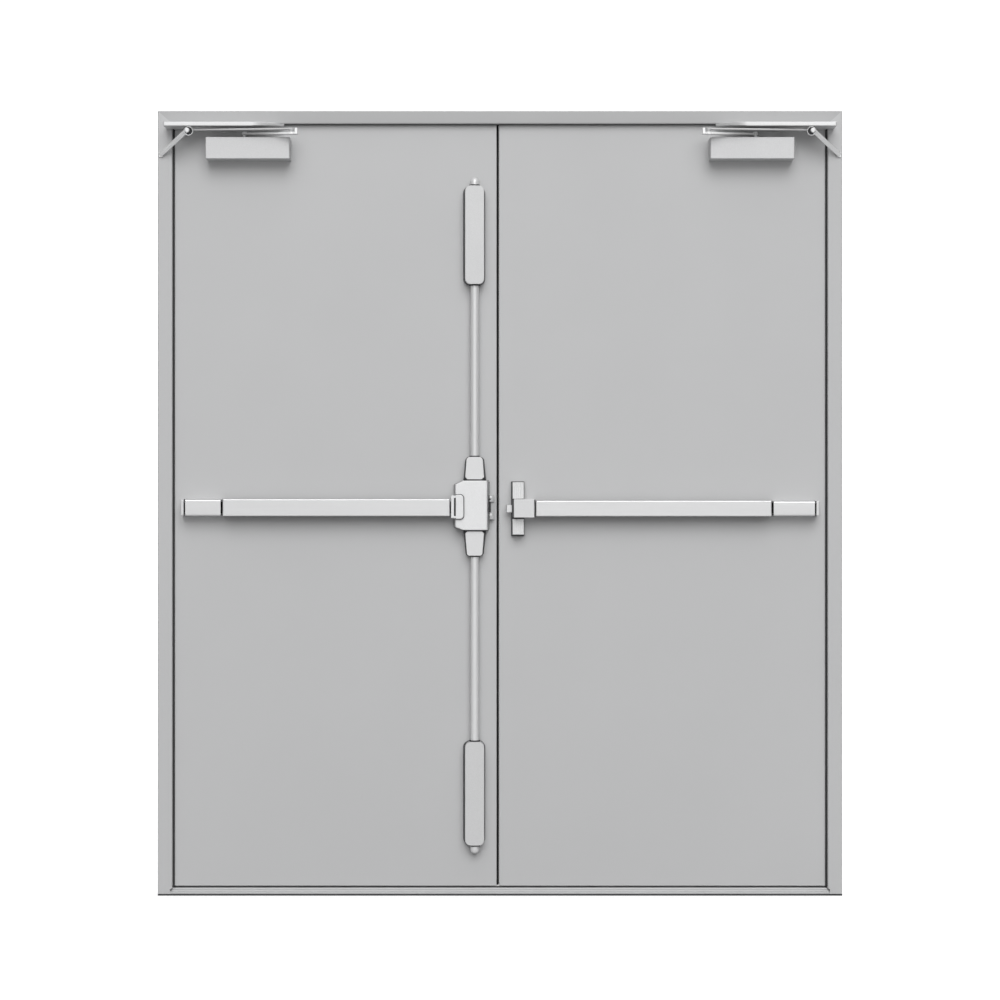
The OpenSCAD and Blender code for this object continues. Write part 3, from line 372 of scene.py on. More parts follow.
def noise(tree, place, scale, detail=2.0, rough=0.5, stretch=(1, 1, 1)):
    """Cloudy value around a half, read at the place times the stretch."""
    n = tree.nodes
    turn = n.new("ShaderNodeMapping")
    turn.inputs["Scale"].default_value = stretch
    cloud = n.new("ShaderNodeTexNoise")
    cloud.inputs["Scale"].default_value = scale
    cloud.inputs["Detail"].default_value = detail
    cloud.inputs["Roughness"].default_value = rough
    tree.links.new(place, turn.inputs["Vector"])
    tree.links.new(turn.outputs["Vector"], cloud.inputs["Vector"])
    return cloud.outputs["Fac"]


def maths(tree, kind, a, b, c=None):
    """One number from two or three, each a socket or a plain value."""
    node = tree.nodes.new("ShaderNodeMath")
    node.operation = kind
    for socket, value in zip(node.inputs, (a, b, c)):
        if isinstance(value, bpy.types.NodeSocket):
            tree.links.new(value, socket)
        elif value is not None:
            socket.default_value = value
    return node.outputs[0]


def bump(tree, height, strength, distance):
    """Normal of a surface that stands out by the height."""
    node = tree.nodes.new("ShaderNodeBump")
    node.inputs["Distance"].default_value = distance
    for label, value in (("Strength", strength), ("Height", height)):
        if isinstance(value, bpy.types.NodeSocket):
            tree.links.new(value, node.inputs[label])
        else:
            node.inputs[label].default_value = value
    return node.outputs["Normal"]


print("node helpers ready")

# %% Sprayed coat, lacquer flakes and drawn grain
def around_one(tree, value, depth):
    """One plus the depth times how far the value is from a half."""
    centred = maths(tree, "SUBTRACT", value, 0.5)
    return maths(tree, "MULTIPLY_ADD", centred, depth, 1.0)


OUT = [("Tone", "NodeSocketFloat"), ("Gloss", "NodeSocketFloat"), ("Normal", "NodeSocketVector")]

coat, c_in, c_out = group("sprayed_coat", [("Clouds", 0.06), ("Peel", 0.1)], OUT)
wide = noise(coat, c_in.outputs["Place"], 2.3, 3.0)
fine = noise(coat, c_in.outputs["Place"], 420.0, 1.0)
peel = noise(coat, c_in.outputs["Place"], 240.0, 1.0)
both = maths(coat, "MULTIPLY_ADD", fine, 0.35, wide)
centred = maths(coat, "SUBTRACT", both, 0.175)
coat.links.new(around_one(coat, centred, c_in.outputs["Clouds"]), c_out.inputs["Tone"])
coat.links.new(around_one(coat, noise(coat, c_in.outputs["Place"], 6.0, 3.0), 0.35), c_out.inputs["Gloss"])
coat.links.new(bump(coat, peel, c_in.outputs["Peel"], 0.0004), c_out.inputs["Normal"])

flake, f_in, f_out = group("lacquer_flakes", [("Clouds", 0.05), ("Sparkle", 0.1)], OUT)
cells = flake.nodes.new("ShaderNodeTexVoronoi")
cells.inputs["Scale"].default_value = 900.0
flake.links.new(f_in.outputs["Place"], cells.inputs["Vector"])
grains = flake.nodes.new("ShaderNodeSeparateColor")
flake.links.new(cells.outputs["Color"], grains.inputs["Color"])
drift = noise(flake, f_in.outputs["Place"], 9.0, 3.0)
speck = maths(flake, "MULTIPLY", grains.outputs[0], f_in.outputs["Sparkle"])
flake.links.new(maths(flake, "ADD", around_one(flake, drift, f_in.outputs["Clouds"]),
                      maths(flake, "SUBTRACT", speck, 0.05)), f_out.inputs["Tone"])
flake.links.new(around_one(flake, drift, 0.4), f_out.inputs["Gloss"])
flake.links.new(bump(flake, grains.outputs[1], 0.05, 0.0002), f_out.inputs["Normal"])

grain, g_in, g_out = group("drawn_grain", [("Clouds", 0.08), ("Depth", 0.15)], OUT)
lines = noise(grain, g_in.outputs["Place"], 1400.0, 2.0, 0.6)
bands = noise(grain, g_in.outputs["Place"], 260.0, 2.0, 0.6)
mixed = maths(grain, "MULTIPLY_ADD", lines, 0.5, maths(grain, "MULTIPLY", bands, 0.5))
grain.links.new(around_one(grain, mixed, g_in.outputs["Clouds"]), g_out.inputs["Tone"])
grain.links.new(around_one(grain, mixed, 0.5), g_out.inputs["Gloss"])
grain.links.new(bump(grain, mixed, g_in.outputs["Depth"], 0.0002), g_out.inputs["Normal"])
print("groups:", coat.name, flake.name, grain.name)

# %% [markdown]
# A material then takes a group, gives it the place of the surface, and multiplies its
# tone into the colour and its gloss into the roughness. For steel with a grain, the place
# is first stretched along the way the steel was drawn, so that spots become long lines.

# %% Materials
def material(name, effect, colour, rough, metallic=0.0, stretch=(1, 1, 1), **settings):
    """Principled surface: colour times the tone, roughness times the gloss."""
    made = bpy.data.materials.new(name)
    made.use_nodes = True
    tree = made.node_tree
    shader = tree.nodes["Principled BSDF"]
    place = tree.nodes.new("ShaderNodeTexCoord")
    turn = tree.nodes.new("ShaderNodeMapping")
    turn.inputs["Scale"].default_value = stretch
    tree.links.new(place.outputs["Object"], turn.inputs["Vector"])
    detail = tree.nodes.new("ShaderNodeGroup")
    detail.node_tree = effect
    tree.links.new(turn.outputs["Vector"], detail.inputs["Place"])
    for label, value in settings.items():
        detail.inputs[label].default_value = value
    tint = tree.nodes.new("ShaderNodeMix")
    tint.data_type, tint.blend_type = "RGBA", "MULTIPLY"
    tint.inputs[0].default_value = 1.0
    tint.inputs[6].default_value = (*colour, 1)
    tree.links.new(detail.outputs["Tone"], tint.inputs[7])
    tree.links.new(tint.outputs[2], shader.inputs["Base Color"])
    tree.links.new(maths(tree, "MULTIPLY", detail.outputs["Gloss"], rough), shader.inputs["Roughness"])
    tree.links.new(detail.outputs["Normal"], shader.inputs["Normal"])
    shader.inputs["Metallic"].default_value = metallic
    print("material", name)
    return made


ALONG_X, ALONG_Z = (0.02, 1, 1), (1, 1, 0.02)
DOOR_PAINT = material("door paint", coat, (0.495, 0.497, 0.502), 0.52, Clouds=0.05, Peel=0.10)
FRAME_PAINT = material("frame paint", coat, (0.487, 0.489, 0.494), 0.52, Clouds=0.05, Peel=0.10)
# The head's paint is a darker copy of the frame paint: painted shade at the top.
SHADED_HEAD_PAINT = material("head paint with painted shade", coat, (0.405, 0.407, 0.411), 0.52, Clouds=0.05, Peel=0.10)
SILVER = material("silver lacquer", flake, (0.67, 0.673, 0.678), 0.48, 0.35, Clouds=0.06, Sparkle=0.10)
GUIDE_SILVER = material("guide lacquer", flake, (0.55, 0.552, 0.556), 0.50, 0.30, Clouds=0.06, Sparkle=0.10)
CLOSER_SILVER = material("closer lacquer", flake, (0.54, 0.542, 0.547), 0.50, 0.30, Clouds=0.06, Sparkle=0.10)
BAR_STEEL = material("satin bar", grain, (0.57, 0.572, 0.576), 0.34, 0.75, ALONG_X, Clouds=0.10, Depth=0.15)
CAP_STEEL = material("satin cover", grain, (0.57, 0.572, 0.576), 0.36, 0.70, ALONG_X, Clouds=0.10, Depth=0.15)
ROD_STEEL = material("drawn rod", grain, (0.67, 0.672, 0.676), 0.40, 0.25, ALONG_Z, Clouds=0.06, Depth=0.05)
# Near-white arm with little metal: a painted sheen for the bright edge of the main arm.
ARM_PAINTED_SHEEN = material("arm with painted sheen", grain, (0.90, 0.901, 0.903), 0.40, 0.1, ALONG_X, Clouds=0.08, Depth=0.08)
ARM_STEEL = material("closer arm steel", grain, (0.50, 0.502, 0.506), 0.38, 0.15, ALONG_X,
                     Clouds=0.10, Depth=0.12)
HINGE_STEEL = material("hinge steel", grain, (0.56, 0.56, 0.565), 0.30, 1.0, ALONG_Z, Clouds=0.08, Depth=0.1)
INNER_STEEL = material("mill steel", grain, (0.36, 0.365, 0.37), 0.42, 0.9, ALONG_X, Clouds=0.2, Depth=0.2)
# This metal also serves the strike plate, where its dark tone is painted shade beside the case.
SILL_AND_SHADED_STRIKE_METAL = material("sill metal and strike painted shade", grain, (0.37, 0.372, 0.375), 0.42, 0.3, ALONG_X, Clouds=0.12, Depth=0.2)
BLOCK_METAL = material("cast block", flake, (0.70, 0.702, 0.706), 0.42, 0.3, Clouds=0.10, Sparkle=0.14)
TAPER_SILVER = material("cover silver", flake, (0.635, 0.637, 0.642), 0.50, 0.30, Clouds=0.05, Sparkle=0.07)
CAP_SILVER = material("cap silver", flake, (0.61, 0.612, 0.617), 0.50, 0.30, Clouds=0.05, Sparkle=0.07)
# Black of the bases under covers, case and latch: painted shade for their dark outlines.
SHADE_BASE = material("painted shade base", flake, (0.06, 0.061, 0.063), 0.50, 0.2, Clouds=0.10, Sparkle=0.10)
SEAL_RUBBER = material("seal rubber", coat, (0.034, 0.034, 0.035), 0.65, Clouds=0.2, Peel=0.3)
CORE_BOARD = material("core board", coat, (0.42, 0.36, 0.25), 0.85, Clouds=0.3, Peel=0.5)
# Near-black for pieces set where there is only shade: painted shade in gaps and grooves.
SHADE_BLACK = material("painted shade black", coat, (0.02, 0.02, 0.022), 0.6, Clouds=0.2, Peel=0.2)
for seal_like in (SEAL_RUBBER, SHADE_BLACK):
    seal_like.node_tree.nodes["Principled BSDF"].inputs["Specular IOR Level"].default_value = 0.3

# %% [markdown]
# The stage
# The photograph has a white ground and soft light from in front and above, while the sides
# of the room are dark: every rounded edge that faces sideways ends in a dark line. A wide
# soft lamp that is far away lights the top and the foot alike, so the key is a sun with a
# large disc, and a second one lights the far side. The world is darker to both sides. The
# floor takes the shadow of the object. It is pale and nearly white where the camera, metal
# or glass sees it, and darker for all other light, so it throws little light back up.

# %% Floor
def quad(name, corners):
    """Flat sheet with four corners."""
    mesh = bpy.data.meshes.new(name)
    mesh.from_pydata(corners, [], [(0, 1, 2, 3)])
    made = bpy.data.objects.new(name, mesh)
    bpy.context.scene.collection.objects.link(made)
    return made


FLOOR_TONE, FLOOR_BOUNCE, FLOOR_LIFT = 0.40, 0.20, 0.66
floor = quad("floor", [(-9, -9, 0), (9, -9, 0), (9, 7, 0), (-9, 7, 0)])
paper = bpy.data.materials.new("pale floor")
paper.use_nodes = True
p_tree, p_shader = paper.node_tree, paper.node_tree.nodes["Principled BSDF"]
p_shader.inputs["Roughness"].default_value = 0.9
p_shader.inputs["Specular IOR Level"].default_value = 0.0
p_shader.inputs["Emission Color"].default_value = (1, 1, 1, 1)
p_ray = p_tree.nodes.new("ShaderNodeLightPath")
p_seen = maths(p_tree, "MAXIMUM", p_ray.outputs["Is Camera Ray"], p_ray.outputs["Is Glossy Ray"])
p_seen = maths(p_tree, "MAXIMUM", p_seen, p_ray.outputs["Is Transmission Ray"])
p_tree.links.new(maths(p_tree, "MULTIPLY", p_seen, FLOOR_LIFT), p_shader.inputs["Emission Strength"])
p_tree.links.new(maths(p_tree, "MULTIPLY_ADD", p_seen, FLOOR_TONE - FLOOR_BOUNCE, FLOOR_BOUNCE),
                 p_shader.inputs["Base Color"])
floor.data.materials.append(paper)
print("floor tone", FLOOR_TONE, "lift for the camera", FLOOR_LIFT)

# %% World
WORLD_LEVEL, SIDE_SHADE, DARKEST = 1.39, 1.2, 0.03
world = bpy.data.worlds.new("studio")
bpy.context.scene.world = world
world.use_nodes = True
w_tree = world.node_tree
w_ray = w_tree.nodes.new("ShaderNodeLightPath")
w_way = w_tree.nodes.new("ShaderNodeTexCoord")
w_split = w_tree.nodes.new("ShaderNodeSeparateXYZ")
w_tree.links.new(w_way.outputs["Generated"], w_split.inputs[0])
sideways = maths(w_tree, "ABSOLUTE", w_split.outputs["X"], None)
walls = maths(w_tree, "MAXIMUM", maths(w_tree, "MULTIPLY_ADD", sideways, -SIDE_SHADE, 1.0), DARKEST)
shown = maths(w_tree, "MAXIMUM", w_ray.outputs["Is Glossy Ray"], w_ray.outputs["Is Transmission Ray"])
room = maths(w_tree, "MULTIPLY", maths(w_tree, "MULTIPLY_ADD", shown, 1 - WORLD_LEVEL, WORLD_LEVEL), walls)
w_tree.nodes["Background"].inputs["Color"].default_value = (1, 1, 1, 1)
w_tree.links.new(maths(w_tree, "MAXIMUM", room, w_ray.outputs["Is Camera Ray"]),
                 w_tree.nodes["Background"].inputs["Strength"])
print("world level", WORLD_LEVEL, "sides darker by", SIDE_SHADE)

# %% Lamps
def soft_sun(name, source, strength, angle):
    """Even light from a far wide lamp: source points from the object to the lamp."""
    data = bpy.data.lights.new(name, "SUN")
    data.energy, data.angle = strength, math.radians(angle)
    lamp = bpy.data.objects.new(name, data)
    lamp.location = [4 * c for c in source]
    lamp.rotation_euler = Vector(source).to_track_quat("Z", "Y").to_euler()
    bpy.context.scene.collection.objects.link(lamp)
    print(name, "from", source, "strength", strength)


KEY_LEVEL, KEY_DISC = 1.78, 45
BACK_LEVEL, BACK_DISC = 1.8, 42
soft_sun("key", (0.06, -0.84, 0.54), KEY_LEVEL, KEY_DISC)
soft_sun("back", (0.30, 0.75, 0.60), BACK_LEVEL, BACK_DISC)

# %% [markdown]
# The folded frame
# Jambs and head are one section, folded from 2 mm sheet: a face, a stop, a rebate and two
# lips at the wall. It is carried along the height of a jamb or the width of the head. The
# ends that meet are mitred, so the length of each point follows from how far in it lies.

# %% Section of the frame and the jambs
def frame_section(face):
    """Bent sheet: u is the distance in from the outer edge, v the depth."""
    h, w = SHEET / 2, face - STOP_H
    return bent([[h, LIP], [h, h], [face - h, h], [face - h, STOP_D - h], [w - h, STOP_D - h],
                 [w - h, FRAME_D - h], [h, FRAME_D - h], [h, FRAME_D - LIP]], 2.4, SHEET)


def tube(centre, r, place, levels, n=32):
    """Round bar: a circle at each level, smaller by the second number."""
    return skin(stack(disc(centre, r, n), place, levels))


jamb_section = frame_section(JAMB_FACE)
mitre = FRAME_H - jamb_section[:, 0] * HEAD_FACE / JAMB_FACE
jamb_plan = np.stack([-X_OUT + jamb_section[:, 0], Y_FRONT + jamb_section[:, 1]], 1)
jamb_rings = np.stack([plan(jamb_plan, 0), plan(jamb_plan, mitre)])
notch_o = np.array([[-X_STOP + 3, -3], [-X_STOP + 3, SILL_H + 1.5], [-X_STOP, SILL_H + 1.5],
                    [-X_STOP - 6, SILL_H - 3.5], [-X_STOP - 6, -3]])
notch = skin(np.stack([front(notch_o, y) for y in (Y_FRONT - 3, Y_STOP + 0.5)]))
ANCHOR_R, ANCHOR_ZS = 5.5, (420, 820, 1420, 1820)
anchors = [tube((Y_LEAF + LEAF_T / 2, z), ANCHOR_R, side, [(-X_REBATE - 6, 0), (-X_REBATE + 6, 0)])
           for z in ANCHOR_ZS]
for name, sign in SIDES:
    jamb = make(name + "_jamb_folded", mirrored([skin(jamb_rings)], sign), "frame", FRAME_PAINT,
                [name + "_jamb"], bevel=0)
    drill(jamb, mirrored([notch] + anchors, sign))

# %% Head
head_section = frame_section(HEAD_FACE)
reach = X_OUT - head_section[:, 0] * JAMB_FACE / HEAD_FACE
head_side = np.stack([Y_FRONT + head_section[:, 1], FRAME_H - head_section[:, 0]], 1)
# The head takes the darker copy of the frame paint, which is painted shade.
make("head_folded", [skin(np.stack([side(head_side, -reach), side(head_side, reach)]))],
     "frame", SHADED_HEAD_PAINT, ["head"], bevel=0)

# %% [markdown]
# The sill
# The threshold is a low strip with a sloping, fluted nose in front of the leaves and a flat
# part with grip grooves under them. Its section is a line with small round flutes, and it
# runs from jamb to jamb with its nose under the stops. A dark bead of sealant closes the
# joint to the floor, and its black is also painted shade, the contact shade along the foot.
# It is a quarter of an ellipse, carried along the whole foot of the frame.

# %% Sill
def fluted(a, b, flutes, depth, n=8):
    """Line from a to b with round hollows: depth times the square of the sine along it."""
    t = np.linspace(0, 1, flutes * n + 1)
    line = np.array(a) + (np.array(b) - np.array(a)) * t[:, None]
    return line - np.stack([0 * t, depth * np.sin(math.pi * flutes * t) ** 2], 1)


slope = fluted([Y_FRONT + 1.0, SILL_NOSE + 0.8], [Y_STOP - 0.6, SILL_H - 0.2], 3, 1.3)
nose_line = np.concatenate([[[Y_STOP + 0.01, 0], [Y_FRONT, 0], [Y_FRONT, SILL_NOSE]], slope,
                            [[Y_STOP + 0.01, SILL_H]]])
grips = fluted([Y_LEAF + 1, SILL_H], [Y_LEAF + 34, SILL_H], 6, 0.9)
tread_line = np.concatenate([[[Y_BACK, 0], [Y_STOP, 0], [Y_STOP, SILL_H]], grips,
                             [[Y_BACK - 8, SILL_H], [Y_BACK, SILL_NOSE]]])
nose_ends = np.minimum(X_STOP + 6, X_STOP + np.clip(SILL_H + 1.2 - nose_line[:, 1], 0, 5) * 1.2)
make("sill_strip", [skin(np.stack([side(nose_line, -nose_ends), side(nose_line, nose_ends)])),
                    skin(np.stack([side(tread_line, -X_REBATE), side(tread_line, X_REBATE)]))],
     "frame", SILL_AND_SHADED_STRIKE_METAL, ["sill"], bevel=0.3)

# %% Sealant along the foot
BEAD_OUT, BEAD_UP = 2.6, 4.6
bead_w = np.linspace(0, math.pi / 2, 7)
bead_arc = np.stack([Y_FRONT - BEAD_OUT * np.cos(bead_w), BEAD_UP * np.sin(bead_w)], 1)
foot_bead = np.concatenate([[[Y_FRONT, 0]], bead_arc])
# The bead's near-black is partly sealant and partly painted contact shade.
make("foot_sealant_and_shade", [skin(np.stack([side(foot_bead, x) for x in (-X_OUT + 0.5, X_OUT - 0.5)]))],
     "frame", SHADE_BLACK, bevel=0)

# %% [markdown]
# The seal
# Behind the stop runs a black rubber seal, which makes the gap round the leaves read as a
# dark line. Its round bead stands towards the leaf. The section is carried up one jamb,
# across the head and down the other, with its corners mitred.

# %% Seal
seal_in, seal_top = X_STOP - 5.4, Z_STOP - 1.8
bead = rounded([[0, Y_STOP], [13.5, Y_STOP], [13.5, Y_STOP + 2.0], [7.4, Y_STOP + 2.0],
                [6.4, Y_LEAF - 0.6], [0, Y_LEAF - 0.6]], [0.5, 0.4, 0.4, 0.6, 1.6, 1.6], 4)
across, deep = seal_in + bead[:, 0], bead[:, 1]
seal_rings = np.stack([np.stack([s * across, deep, z + 0 * deep], 1) for s, z in
                       ((-1, Z_LOW), (-1, seal_top + bead[:, 0]), (1, seal_top + bead[:, 0]), (1, Z_LOW))])
make("door_seal", [skin(seal_rings)], "frame", SEAL_RUBBER, ["seal"], bevel=0)

# %% [markdown]
# The leaves
# A leaf is a shell of 1.5 mm sheet, folded round its long edges with a small radius, over a
# board core and two channels that close its ends. Its plan is a rectangle whose meeting
# edge slopes a little. The outer loop and the same loop one sheet thickness inside are
# joined at both ends, so the shell is closed. The channels and the core stay as the CAD
# has them, with mill steel and board as their finishes. A rubber lip on the left leaf
# nearly fills the gap where the leaves meet, so that no light comes through.

# %% Leaf skins
EDGE_LEFT, EDGE_RIGHT, EDGE_SLOPE = MEET_LEFT + 2.0, MEET_RIGHT + 0.8, 0.6


def leaf_skin(hinge_x, meet_x, sign):
    """Shell of a leaf: outer loop up and inner loop down, each point at both heights."""
    o = rounded([[hinge_x, Y_LEAF], [meet_x, Y_LEAF], [meet_x - sign * EDGE_SLOPE, Y_PULL],
                 [hinge_x, Y_PULL]], 1.9, 5)
    i = inset(o, LEAF_SHEET)
    levels = [plan(inset(o, 0.5), Z_LOW), plan(o, Z_LOW + 0.5), plan(o, Z_TOP - 0.5),
              plan(inset(o, 0.5), Z_TOP), plan(i, Z_TOP), plan(i, Z_LOW)]
    return skin(np.stack(levels), wrap=True)


for name, hinge_x, meet_x, sign in (("left", -X_LEAF, EDGE_LEFT, -1), ("right", X_LEAF, EDGE_RIGHT, 1)):
    make(name + "_leaf_skin", [leaf_skin(hinge_x, meet_x, sign)], name + "_leaf", DOOR_PAINT,
         [name + "_leaf_sheets"], bevel=0)
    # The rails get the near-black of painted shade, for the dark gaps beside the bars.
    for node, finish in (("_leaf_channels", INNER_STEEL), ("_leaf_core", CORE_BOARD), ("_rail", SHADE_BLACK)):
        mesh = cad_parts[name + node].data
        mesh.materials.clear()
        mesh.materials.append(finish)

# %% Seal between the leaves
lip_back = Y_PULL - 2.5
lip_share = (np.array([lip_back - 4, lip_back]) - Y_LEAF) / LEAF_T * EDGE_SLOPE
lip_tip = EDGE_RIGHT - EDGE_SLOPE - 0.1
lip = rounded([[EDGE_LEFT + lip_share[0] - 0.2, lip_back - 4], [lip_tip, lip_back - 4], [lip_tip, lip_back],
               [EDGE_LEFT + lip_share[1] - 0.2, lip_back]], [0, 1.9, 1.9, 0], 6)
make("meeting_lip", [skin(np.stack([plan(lip, Z_LOW - 3.4), plan(lip, Z_TOP)]))], "left_leaf", SEAL_RUBBER,
     ["meeting_seal"], bevel=0)

# %% [markdown]
# The hinges
# Each leaf hangs on three butt hinges on the far side. Five knuckles sit round one pin:
# three belong to the frame and two to the leaf. A knuckle is a circle carried up its height
# with rounded ends, and the pin ends in a small dome.

# %% Hinges
def slab(x0, x1, y0, y1, z0, z1, r=0.6):
    """Block with rounded upright edges: its plan carried from z0 to z1."""
    return skin(stack(box_outline(x0, x1, y0, y1, r, 3), plan, [(z0, 0), (z1, 0)]))


def round_levels(z0, z1, r):
    """Levels of a round bar with rounded ends."""
    return nose(z0, r, 1) + nose(z1, r, -1)[::-1]


HINGE_H, HINGE_END, HINGE_LEAF, HINGE_T = 114, 180, 38, 2.4
KNUCKLES, KNUCKLE_R, PIN_R = 5, 8, 4
KNUCKLE = HINGE_H / KNUCKLES
HINGE_ZS = [Z_LOW + HINGE_END, (Z_LOW + Z_TOP) / 2 - HINGE_H / 2, Z_TOP - HINGE_END - HINGE_H]
for name, sign in SIDES:
    frame_parts, leaf_parts = [], []
    for z in HINGE_ZS:
        frame_parts.append(slab(-X_REBATE, -X_REBATE + HINGE_T, Y_PULL - HINGE_LEAF, Y_BACK, z, z + HINGE_H))
        leaf_parts.append(slab(-X_LEAF - HINGE_T, -X_LEAF, Y_PULL - HINGE_LEAF, Y_PULL, z, z + HINGE_H))
        frame_parts.append(tube((-X_PIN, Y_PIN), PIN_R, plan, round_levels(z - 2, z + HINGE_H + 2, 2)))
        for i in range(KNUCKLES):
            low, high = z + i * KNUCKLE + 0.25, z + (i + 1) * KNUCKLE - 0.25
            x, y, parts = ((-X_REBATE, Y_BACK, frame_parts) if i % 2 == 0 else
                           (-X_LEAF - HINGE_T, Y_PULL, leaf_parts))
            parts.append(tube((-X_PIN, Y_PIN), KNUCKLE_R, plan, round_levels(low, high, 0.8)))
            parts.append(slab(x, x + HINGE_T, y - 1, Y_PIN, low, high))
    make(name + "_hinge_frame_leafs", mirrored(frame_parts, sign), "frame", HINGE_STEEL,
         [name + "_hinge_frame_halves"], bevel=0)
    make(name + "_hinge_door_leafs", mirrored(leaf_parts, sign), name + "_leaf", HINGE_STEEL,
         [name + "_hinge_leaf_halves"], bevel=0)

# %% [markdown]
# The closers
# A closer body is a smooth cover with round upright corners at its front and a low collar
# round the spindle on its top. The spindle turns the main arm, a forged flat bar that ends
# in an upright nose past the elbow. The forearm is a strip with a ring over the bracket's
# pivot.
# A bar between two points is an outline drawn in plan, moved along its own slope.

# %% Closer bodies
def sloping(o, a, b, za, zb):
    """Height of each plan point: it falls evenly from za at a to zb at b."""
    d = b - a
    t = np.clip(((o - a) @ d) / (d @ d), 0, 1)
    return za + (zb - za) * t


def bar_plan(a, b, wa, wb, n=10):
    """Outline of a bar with round ends of half widths wa and wb: two half circles, joined."""
    d = (b - a) / np.linalg.norm(b - a)
    w = np.linspace(math.pi / 2, 3 * math.pi / 2, n + 1)
    turn = np.array([[d[0], d[1]], [-d[1], d[0]]])
    left = a + wa * np.stack([np.cos(w), np.sin(w)], 1) @ turn
    right = b + wb * np.stack([-np.cos(w), -np.sin(w)], 1) @ turn
    return np.concatenate([left, right])


def flat_bar(o, low, high, r):
    """Bar with rounded long edges from its plan outline and the heights under and over it."""
    ups = [(low(inset(o, d)) + up, d) for up, d in nose(0, r, 1, 3)]
    downs = [(high(inset(o, d)) + up, d) for up, d in nose(0, r, -1, 3)][::-1]
    return skin(np.stack([plan(inset(o, d), z) for z, d in ups + downs]))


cover_x0, cover_x1, cover_z = CLOSER_X - 1.8, CLOSER_X + CLOSER_W, CLOSER_TOP - CLOSER_H + 1.1
body_plan = rounded([[cover_x0, Y_LEAF], [cover_x0, Y_LEAF - CLOSER_D], [cover_x1, Y_LEAF - CLOSER_D],
                     [cover_x1, Y_LEAF]], [0, 3, 3, 0], 6)
body_levels = nose(cover_z, 1.4, 1) + nose(CLOSER_TOP, 1.4, -1)[::-1]
closer_parts = [skin(stack(body_plan, plan, body_levels)),
                tube(SPINDLE, 13, plan, [(CLOSER_TOP - 1, 0)] + nose(CLOSER_TOP + 1.5, 0.8, -1)[::-1])]
for name, sign in SIDES:
    make(name + "_closer_cover", mirrored(closer_parts, sign), name + "_leaf", CLOSER_SILVER,
         [name + "_closer_body"], bevel=0)

# %% Main arms
arm_o = bar_plan(SPINDLE, ELBOW, 7.5, 11.0, 14)
along = (ELBOW - SPINDLE) / np.linalg.norm(ELBOW - SPINDLE)
nose_o = box_outline(ELBOW[0] + 9.6, ELBOW[0] + 17.6, ELBOW[1] - 9, ELBOW[1] + 9, 2.2, 4)


def arm_low_at(o):
    """Underside of the main arm: level at both ends, with an even slope between them."""
    return sloping(o, SPINDLE + 20 * along, ELBOW - 25 * along, ARM_Z, ARM_LOW)


arm_parts = [
    flat_bar(arm_o, arm_low_at, lambda o: arm_low_at(o) + ARM_T, 1.2),
    tube(SPINDLE, 4.6, plan, [(CLOSER_TOP - 23, 0), (ARM_Z, 0)]),
    tube(SPINDLE, 6.4, plan, nose(ARM_Z - 0.4, 0.6, 1) + nose(ARM_Z + ARM_T + 2.9, 1.0, -1)[::-1]),
    tube(ELBOW, 12, plan, nose(ARM_LOW - 0.5, 1.2, 1) + nose(ARM_LOW + ARM_T + 0.5, 1.2, -1)[::-1]),
    skin(stack(nose_o, plan, nose(ARM_LOW, 1.4, 1) + nose(FORE_Z + FORE_T, 1.4, -1)[::-1])),
]
# The main arm's near-white colour is a painted sheen.
for name, sign in SIDES:
    make(name + "_main_arm_forged", mirrored(arm_parts, sign), name + "_main_arm", ARM_PAINTED_SHEEN,
         [name + "_closer_arm"], bevel=0.2)

# %% Forearms
to_elbow = (ELBOW - PIVOT) / np.linalg.norm(ELBOW - PIVOT)


def washer(centre, r_in, r_out, z0, z1, n=40):
    """Ring with a square section: outer circle up and inner circle down, closed both ways."""
    o, i = disc(centre, r_out, n), disc(centre, r_in, n)
    return skin(np.stack([plan(o, z0), plan(o, z1), plan(i, z1), plan(i, z0)]), wrap=True)


def level(z):
    """Height function of a bar that lies flat: the same z at every plan point."""
    return lambda o: z + 0 * o[:, 0]


RING_IN, RING_OUT = 5.05, 11
strip_start = PIVOT + 9.2 * to_elbow
strip_half = 8.6 * np.array([-to_elbow[1], to_elbow[0]])
strip_plan = rounded([strip_start + strip_half, strip_start - strip_half, ELBOW - strip_half,
                      ELBOW + strip_half], [0, 0, 4, 4], 5)
fore_parts = [
    flat_bar(strip_plan, level(FORE_Z), level(FORE_Z + FORE_T), 0.9),
    washer(PIVOT, RING_IN, RING_OUT, FORE_Z, FORE_Z + FORE_T),
    tube(ELBOW, 8.8, plan, nose(FORE_Z - 1.5, 0.9, 1) + nose(FORE_Z + FORE_T + 0.7, 0.9, -1)[::-1]),
    tube(ELBOW, 7, plan, [(ARM_LOW + ARM_T + 1.5, 0), (FORE_Z, 0)]),
]
for name, sign in SIDES:
    make(name + "_forearm_strip", mirrored(fore_parts, sign), name + "_fore_arm", ARM_STEEL,
         [name + "_closer_forearm"], bevel=0)

# %% [markdown]
# The closer brackets
# A thick plate under the head carries the pivot of the forearm. Its front edge bends back
# to the frame near the meeting edge, where the plate thins from below, and its corner over
# the jamb is round. A round eye in a ring faces the viewer, and a stay falls from it to the
# jamb. The plate is its plan outline with rounded edges, and the stay is a section carried
# between two points.

